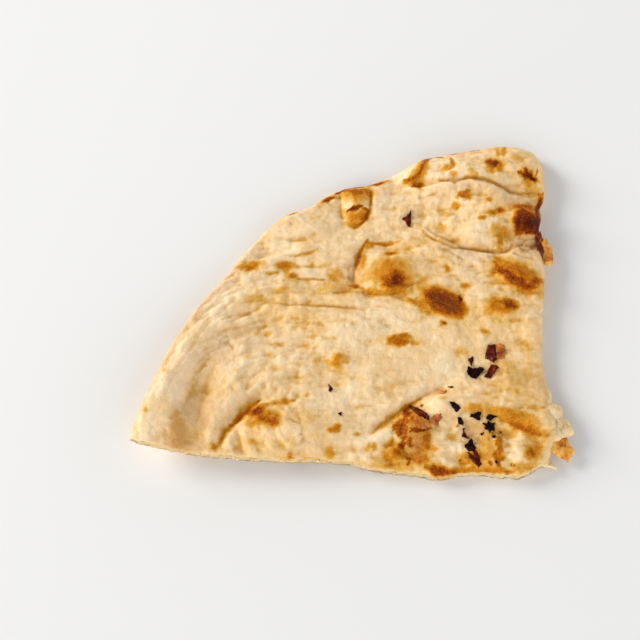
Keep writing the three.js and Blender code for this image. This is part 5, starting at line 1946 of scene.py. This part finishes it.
FLAKES: dict[str, tuple[Flake, ...]] = {
    "burnt_onion_flakes": (
        Flake((33.4, -39.2), ((-1.8, 1.7), (-1, -0.2), (0.6, -2.2), (2.2, -0.7), (0, 1.4)),
         0.7, 0.4, 6, -6),
        Flake((35.5, -43.8), ((-1.3, 1.5), (-0.8, -0.7), (0.9, -1.7), (1, -0.3), (0.2, 1.2)),
         0.7, 0.3, 0, 8),
        Flake((40.5, -42.4), ((-2.2, -0.1), (1.4, -1.5), (1.8, 1.4), (-1.6, 0.9)), 0.8, 0.3, 10, 0),
        Flake((45.7, -43), ((-1.8, 0), (-0.8, -1.2), (2.2, 0.4), (-0.6, 1.1)), 0.7, 0.5, 8, 6),
        Flake((45, -46), ((-2.4, 1.3), (-1.6, 0.1), (-1.8, -0.8), (-0.4, -1.1), (0.1, -2.4), (0.9, -1.2),
         (1.9, -1.6), (1.5, 0.0), (2.0, 1.3), (0.6, 1.2), (-0.4, 2.1), (-1.0, 1.1)), 0.9, 0.4, -6, 4),
        Flake((38.6, -52.3), ((0.2, 2.7), (-1.4, 0.7), (-2.2, -0.8), (-0.5, -2), (1.2, -1.6), (1.7, -0.6)),
         0.9, 0.4, 4, 6),
        Flake((41.2, -25.4), ((-2.6, 1.7), (-2.9, -0.8), (-2, -2.4), (0.2, -2.9), (3.3, 0.9), (2.4, 1.6),
         (-0.8, 1)), 0.7, 0.5, 6, 4),
        Flake((-4.7, -41.5), ((-0.9, 0.3), (0.2, -0.8), (0.6, 0.9)), 0.5, 0.1),
        Flake((46.4, -49.3), ((-0.9, 0.2), (-0.1, -0.6), (0.8, 0.1), (0.2, 0.5)), 0.4, 0.1),
        Flake((48.6, -47.6), ((-0.4, 0.1), (0.1, -0.4), (0.5, 0.3)), 0.4, 0.1),
        Flake((42.3, -48.2), ((-0.4, 0.2), (0.1, -0.4), (0.4, 0.3)), 0.4, 0.1),
        Flake((36.4, -46.2), ((-0.3, 0.1), (0.1, -0.4), (0.4, 0.4)), 0.4, 0.1),
        Flake((46.6, -58.2), ((-0.4, 0.2), (0.2, -0.3), (0.4, 0.3)), 0.4, 0.1),
    ),
    "browned_onion_flakes": (
        Flake((19.9, 32.8), ((1.1, 4.4), (0.1, 2.2), (-1.1, 1.2), (-2.6, 0.3), (-1.2, -0.9), (0.2, -2.9),
         (0.9, -1.6), (1.0, 0.8)), 0.6, 0.4, 0, -8),
        Flake((46.8, -18.8), ((-0.7, 3.2), (1.9, 3.1), (2.2, -2.5), (0.9, -3.6), (-1.9, -2), (-2, 0)),
         0.6, 0.5, 4, -10),
        Flake((40, -21.5), ((-1.1, 0.7), (0, -2.1), (1, 0.4), (0.8, 1.8)), 0.5, 0.4, 0, 8),
        Flake((46.9, -25.4), ((-0.4, 2.2), (-1.7, -0.2), (-2.8, -2.4), (-0.5, -2.7), (2.5, 1.1),
         (1.7, 2.2)), 0.6, 0.4, 4, 4),
        Flake((36.7, -48.2), ((-0.6, 2), (-1, -0.7), (1.6, -1.5)), 0.5, 0.3),
        Flake((-8.1, -32.1), ((-0.6, 1.8), (-0.5, -0.4), (0.2, -1.4), (0.9, 0)), 0.5, 0.2, 0, 6),
        Flake((39.6, -56.4), ((-2.6, 2.3), (-0.9, -0.8), (1.5, -3.7), (2.7, -2.6), (0.9, 2.8)),
         0.5, 0.3, 0, -4, 0.3),
        Flake((22.3, -40.8), ((-2.9, 3.2), (-2.3, 1.0), (-0.4, -0.9), (1.2, -2.9), (2.6, -3.0), (2.8, -1.4),
         (1.0, 0.4), (-0.9, 1.9)), 0.6, 0.4, 4, 0, 0.25),
        Flake((32.6, -31.4), ((-1.1, 0.5), (-0.4, -0.3), (0.9, -0.5), (1.1, 0)), 0.4, 0.1),
    ),
    "amber_onion_flakes": (
        Flake((50, -18.4), ((-1.6, 2.7), (0, 3.6), (1.7, 3), (2, 0.9), (1.6, -2.2), (-1.4, -2.8)),
         0.6, 0.4, 2, 6),
        Flake((29.7, -33.1), ((-1, 1.1), (-0.9, -0.6), (0.2, -1.1), (1.7, 0.4)), 0.6, 0.2, 4, 0),
        Flake((27.0, -43.5), ((-2.3, -1.8), (-1.9, 0.2), (-0.6, 1.9), (1.8, 2.3), (2.4, 0.8), (1.3, -0.4),
         (1.0, -2.0), (-0.6, -1.2)), 0.6, 0.4, 0, 4, 0.25),
        Flake((22.6, -44.4), ((-2.6, 2.4), (-3.0, -0.4), (-1.6, -2.4), (1.2, -2.8), (3.2, -1.4), (2.6, 1.2),
         (0.4, 1.8)), 0.4, 0.15, 0, 0, 0.3),
    ),
}

ONION_FINISHES: dict[str, tuple[FriedOnion, Slot]] = {
    "burnt_onion_flakes": (CharredOnion(), Slot.CHAR),
    "browned_onion_flakes": (BrownedOnion(), Slot.ONION),
    "amber_onion_flakes": (FriedOnion(), Slot.ONION),
}


def plate(outline: Path, thick: float, curl: float, chance: np.random.Generator) -> Mesh:
    """Makes a thin closed plate with worn edges that curls up at its ends.

    Args:
        outline: Its corners.
        thick: Its thickness.
        curl: How far its ends stand up.
        chance: Random numbers for its frayed edge and crumpling.

    Returns:
        Its points in millimetres about its own middle, and its faces.
    """
    between = 4  # steps from corner to corner
    fray = 0.13  # millimetres by which the points between stray
    cross_curl = 0.4  # curl along Y as a share of the curl along X
    coarse, fine = 0.16, 0.08  # heights of the crumpling in millimetres
    crown, foot = 0.56, -0.5  # middles of both faces, in thicknesses
    # rings from the top's middle over the edge to the underside's: share of the outline, thicknesses
    frayed = []
    for (ax, ay), (bx, by) in zip(outline, outline[1:] + outline[:1]):
        for step in range(between):
            t = step / between
            jitter = chance.normal(0.0, fray, 2) if step else np.zeros(2)
            frayed.append((ax + (bx - ax) * t + jitter[0], ay + (by - ay) * t + jitter[1]))
    corners = np.array(frayed)
    after = np.roll(corners, -1, axis=0)
    if np.sum(corners[:, 0] * after[:, 1] - after[:, 0] * corners[:, 1]) < 0:
        corners = corners[::-1]
    middle = corners.mean(axis=0)
    reach = float(np.abs(corners - middle).max())
    count = len(corners)
    rings = ((0.3, 0.55), (0.65, 0.52), (0.93, 0.4), (1.0, 0.0), (0.93, -0.4), (0.65, -0.5), (0.3, -0.5))
    points = []
    for scale, level in rings:
        flat = middle + (corners - middle) * scale
        x, y = flat.T
        bend = curl * ((x - middle[0]) / reach) ** 2 + cross_curl * curl * ((y - middle[1]) / reach) ** 2
        crumple = coarse * np.sin(x * 2.3 + y * 1.7 + reach) + fine * np.sin(x * 5.1 - y * 4.3)
        points.append(np.column_stack([flat, level * thick + bend + crumple]))
    points.append(np.array([[*middle, crown * thick], [*middle, foot * thick]]))
    faces = []
    for ring in range(len(rings) - 1):
        for k in range(count):
            a, b = ring * count + k, ring * count + (k + 1) % count
            faces.append([a, a + count, b + count, b])
    high, low = len(rings) * count, len(rings) * count + 1
    last = (len(rings) - 1) * count
    for k in range(count):
        n = (k + 1) % count
        faces += [[high, k, n], [low, last + n, last + k]]
    return np.vstack(points), faces


@dataclass
class OnionFlakes:
    """The onion flakes lying on the top, joined by finish."""

    form: DoughForm
    surface: Surface
    seed: int = 19
    drape: float = 0.8  # how much of the skin's unevenness a flake follows

    def heights(self, x: Field, y: Field) -> Field:
        """Heights of the finished top at places."""
        at = self.form.outline.place(x, y)
        return self.form.top(at) + self.surface.relief(at)

    def height(self, x: float, y: float) -> float:
        """Height of the finished top at a place."""
        return float(self.heights(np.array([x]), np.array([y]))[0])

    def build(self) -> list[Piece]:
        """Builds one piece of each finish.

        Returns:
            The pieces.
        """
        chance = np.random.default_rng(self.seed)
        made = []
        for name, flakes in FLAKES.items():
            finish, slot = ONION_FINISHES[name]
            parts = []
            for flake in flakes:
                points, sides = plate(flake.outline, flake.thick, flake.curl, chance)
                parts.append((self.lay(flake, points), sides))
            made.append(fasten(make_piece(name, *joined(parts), finish.make()), slot))
        return made

    def lay(self, flake: Flake, points: Field) -> Field:
        """Lays a plate on the skin.

        Args:
            flake: Where and how it lies.
            points: The plate about its own middle.

        Returns:
            Its points on the bread.
        """
        x, y = flake.at
        here = self.height(x, y)
        span = 1.0
        slope_x = (self.height(x + span, y) - self.height(x - span, y)) / (2 * span)
        slope_y = (self.height(x, y + span) - self.height(x, y - span)) / (2 * span)
        lie = Vector((0, 0, 1)).rotation_difference(Vector((-slope_x, -slope_y, 1)).normalized())
        own = Quaternion((1, 0, 0), math.radians(flake.roll))
        own = own @ Quaternion((0, 1, 0), math.radians(flake.pitch))
        turn = np.array((lie @ own).to_matrix())
        laid = points @ turn.T + np.array([x, y, here + flake.thick / 2 - flake.sink])
        level = here + slope_x * (laid[:, 0] - x) + slope_y * (laid[:, 1] - y)
        laid[:, 2] += self.drape * (self.heights(laid[:, 0], laid[:, 1]) - level)
        return laid


@dataclass(frozen=True)
class RimBit:
    """A thin piece at the rim: a corner of its outline, the others from there, and how it falls."""

    name: str
    at: Triple
    outline: Path
    thick: float
    fall: float  # degrees down towards +X
    curl: float
    browned: bool = False

    def make(self, chance: np.random.Generator) -> Mesh:
        """Makes the piece where it hangs.

        Args:
            chance: Random numbers for its frayed edge.

        Returns:
            Its points and faces.
        """
        points, faces = plate(self.outline, self.thick, self.curl, chance)
        fall = np.array(Matrix.Rotation(math.radians(self.fall), 3, "Y"))
        return points @ fall.T + np.array(self.at), faces


@dataclass
class RimOnions:
    """The curled pieces of fried onion that stick out past the rim, one with its browned skin on."""

    seed: int = 29
    bits: tuple[RimBit, ...] = (
        RimBit(
            "corner_onion",
            (66.4, -49.2, 3.8),
            ((-2, 0.4), (-1.6, -4.4), (1.2, -5.8), (2.9, -6.9), (4.9, -8), (6.1, -5.4), (7.5, -4.6),
             (5.6, -1.6), (4.8, 1.2)),
            1.3, 10, 0.6,
        ),
        RimBit(
            "side_onion",
            (68.0, 20.8, 4.4),
            ((-1.8, 5.4), (0.6, 5.2), (1.6, 2.6), (3.0, 1.4), (2.8, -2.6), (1.6, -5.6), (-0.6, -5.2),
             (-1.4, -3.0), (-2.2, 0.4)),
            1.3, 14, 1.8,
        ),
        RimBit(
            "side_onion_skin",
            (66.0, 22.6, 5.8),
            ((-1.6, 5.2), (0.7, 6.2), (1.6, 3.0), (1.2, 0.4), (1.7, -2.4), (0.4, -5.6), (-0.9, -4.2),
             (-1.5, 0.4)),
            0.8, 24, 0.9, True,
        ),
    )

    def build(self) -> list[Piece]:
        """Builds the pieces.

        Returns:
            The pieces.
        """
        chance = np.random.default_rng(self.seed)
        golden = FriedOnion(
            "curled_fried_onion", light="FFD074", deep="F2AA42", edge="B4601A", roughness=0.24, subsurface=0.4
        )
        skin = BrownedOnion("browned_onion_skin", light="A8541A", deep="6E2C0C", edge="3C1406")
        made = []
        for bit in self.bits:
            finish = skin if bit.browned else golden
            made.append(fasten(make_piece(bit.name, *bit.make(chance), finish.make()), Slot.ONION))
        return made


@dataclass
class TornCorner:
    """Crumbs and the shred of crumb pulled out of the torn corner, and crumbs along the cut."""

    form: DoughForm
    seed: int = 37
    crumbs: tuple[tuple[Triple, Triple], ...] = (
        ((64.6, -36.4, 4.0), (3.2, 5.4, 2.6)),
        ((65.8, -41.0, 4.4), (4.8, 5.0, 3.0)),
        ((67.6, -44.6, 4.2), (4.8, 4.0, 2.9)),
        ((69.6, -46.2, 3.8), (4.2, 2.9, 2.5)),
        ((65.6, -46.8, 4.2), (4.6, 4.2, 2.9)),
    )
    shred: RimBit = RimBit(
        "torn_shred", (62, -56.6, 3), ((-1, 1.6), (-2, -1.6), (3, -2.2), (5.6, -3), (3.1, 0.2)), 1.4, 8, 0.3
    )
    loose: int = 60  # small crumbs along the cut
    crumb_size: Pair = (0.18, 0.5)  # their smallest and largest half width
    standing: float = 0.4  # how far behind the cut they are rooted
    rounds: int = 12
    slices: int = 20

    def crumb(self, at: Triple, half: Triple, seed: float) -> tuple[Field, list]:
        """Makes a lumpy crumb.

        Args:
            at: Its middle.
            half: Its half sizes.
            seed: Which lumps.

        Returns:
            Its points and faces.
        """
        turns = [2.0 * math.pi * k / self.slices for k in range(self.slices)]
        points = [(0.0, 0.0, 1.0)]
        for row in range(1, self.rounds):
            down = math.pi * row / self.rounds
            wide = math.sin(down)
            points += [(wide * math.cos(turn), wide * math.sin(turn), math.cos(down)) for turn in turns]
        points.append((0.0, 0.0, -1.0))
        base, of_lumps, of_tears = 0.9, 0.26, 0.1  # shares of the radius
        lumpy = []
        for point in points:
            here = Vector(point)
            lumps = noise.noise(here * 1.3 + Vector((seed, 0.0, 0.0)))
            torn = noise.fractal(here * 3.2 + Vector((0.0, seed, 0.0)), 1.0, 2.0, 2)
            lumpy.append(here * (base + of_lumps * lumps + of_tears * torn))
        faces = [[0, 1 + k, 1 + (k + 1) % self.slices] for k in range(self.slices)]
        for row in range(self.rounds - 2):
            start = 1 + row * self.slices
            for k in range(self.slices):
                n = (k + 1) % self.slices
                faces.append([start + k, start + k + self.slices, start + n + self.slices, start + n])
        last = len(points) - 1
        start = last - self.slices
        faces += [[last, start + (k + 1) % self.slices, start + k] for k in range(self.slices)]
        return np.array(lumpy) * np.array(half) + np.array(at), faces

    def build(self) -> Piece:
        """Builds the crumbs and the shred as one piece.

        Returns:
            The piece.
        """
        chance = np.random.default_rng(self.seed)
        parts = [self.shred.make(chance)]
        wanted = [(at, half, 5.0 * k) for k, (at, half) in enumerate(self.crumbs)]
        steps = 400
        first, last = 6, 396  # the steps of the cut's line that crumbs may hang from
        lowest, highest = 0.15, 0.9  # shares of the cut's height
        thinner, thicker = 0.7, 1.3
        proud = 0.35  # millimetres between the cut's line and a crumb's middle
        line = curve_through(self.form.outline.cut, steps)
        for k in range(self.loose):
            x, y = line[int(chance.uniform(first, last))]
            at = self.form.outline.place(np.array([x]), np.array([y + self.standing]))
            low, high = float(self.form.bottom(at)[0]), float(self.form.top(at)[0])
            size = chance.uniform(*self.crumb_size)
            z = low + (high - low) * chance.uniform(lowest, highest)
            half = tuple(float(size * chance.uniform(thinner, thicker)) for _ in range(3))
            wanted.append(((float(x), float(y + proud), z), half, 3.0 * k + 1.0))
        parts += [self.crumb(at, half, seed) for at, half, seed in wanted]
        piece = make_piece("torn_corner_crumbs", *joined(parts), SoftCrumb().make())
        return fasten(piece, Slot.CRUST)


# ---------------------------------------------------------------- studio


@dataclass
class Studio:
    """A pale board, a large soft light low on the left, even light all round, and the camera."""

    floor_size: float = 4.0  # metres
    aim: Triple = (-11.258, -4.513, 0.0)
    eye: Triple = (-11.258, -228.031, 479.336)
    lens: float = 85.0
    sensor: float = 36.0
    light_from: Triple = (-0.86, 0.36, 0.45)
    light_away: float = 3.0
    light_size: float = 1.3
    light_power: float = 71.0
    surround: float = 1.78
    sky: tuple[Pair, ...] = ((0.0, 1.0), (0.35, 0.9), (0.7, 0.24), (1.0, 0.06))  # brightness by height
    sky_lean: float = 0.3  # how much brighter the room is in front of the bread than behind it
    warm: Triple = (1.0, 0.975, 0.94)  # tint of the soft light
    cool: Triple = (0.985, 0.99, 1.0)  # tint of the room
    floor_gap: float = -0.02  # height of the board, a hair under the bread, in millimetres

    def build(self) -> None:
        """Builds the board, the lights and the camera."""
        half = self.floor_size / 2
        corners = [(-half, -half, 0), (half, -half, 0), (half, half, 0), (-half, half, 0)]
        mesh = bpy.data.meshes.new("board")
        mesh.from_pydata(corners, [], [(0, 1, 2, 3)])
        mesh.materials.append(Tabletop().make())
        board = bpy.data.objects.new("board", mesh)
        board.location.z = self.floor_gap * MM
        bpy.context.scene.collection.objects.link(board)
        self.light()
        self.camera()

    def light(self) -> None:
        """Hangs the soft light and fills the room with even light."""
        lamp = bpy.data.lights.new("window_light", "AREA")
        lamp.shape = "SQUARE"
        lamp.size = self.light_size
        lamp.energy = self.light_power
        lamp.color = self.warm
        holder = bpy.data.objects.new("window_light", lamp)
        towards = Vector(self.light_from).normalized()
        holder.location = towards * self.light_away
        holder.rotation_euler = (-towards).to_track_quat("-Z", "Y").to_euler()
        bpy.context.scene.collection.objects.link(holder)
        world = bpy.data.worlds.new("room")
        world.use_nodes = True
        tree = world.node_tree
        way = add(tree, "TexCoord").outputs["Generated"]
        lean = {0: way, 1: (0.0, self.sky_lean, 1.0)}
        height = add(tree, "VectorMath", lean, operation="DOT_PRODUCT").outputs["Value"]
        stops = tuple((at, (*(part * level for part in self.cool), 1.0)) for at, level in self.sky)
        sky = add(tree, "ValToRGB", {"Fac": height}, stops=stops).outputs["Color"]
        background = tree.nodes["Background"]
        background.inputs["Strength"].default_value = self.surround
        tree.links.new(sky, background.inputs["Color"])
        bpy.context.scene.world = world

    def camera(self) -> None:
        """Stands the camera in front of the cut, looking down at the bread."""
        data = bpy.data.cameras.new("camera")
        data.lens = self.lens
        data.sensor_width = self.sensor
        data.clip_start = 0.01
        camera = bpy.data.objects.new("camera", data)
        camera.location = Vector(self.eye) * MM
        view = (Vector(self.aim) - Vector(self.eye)).normalized()
        camera.rotation_euler = view.to_track_quat("-Z", "Y").to_euler()
        bpy.context.scene.collection.objects.link(camera)
        bpy.context.scene.camera = camera
        bpy.context.scene.view_settings.view_transform = "Standard"


def main() -> None:
    """Builds the studio and every piece of the bread."""
    logging.basicConfig(level=logging.INFO, format="%(name)s: %(message)s")
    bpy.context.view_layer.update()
    Studio().build()
    form = DoughForm(Outline())
    surface = Surface(form)
    DoughSheet(form, surface).build()
    OnionFlakes(form, surface).build()
    RimOnions().build()
    TornCorner(form).build()


if __name__ == "__main__":
    main()
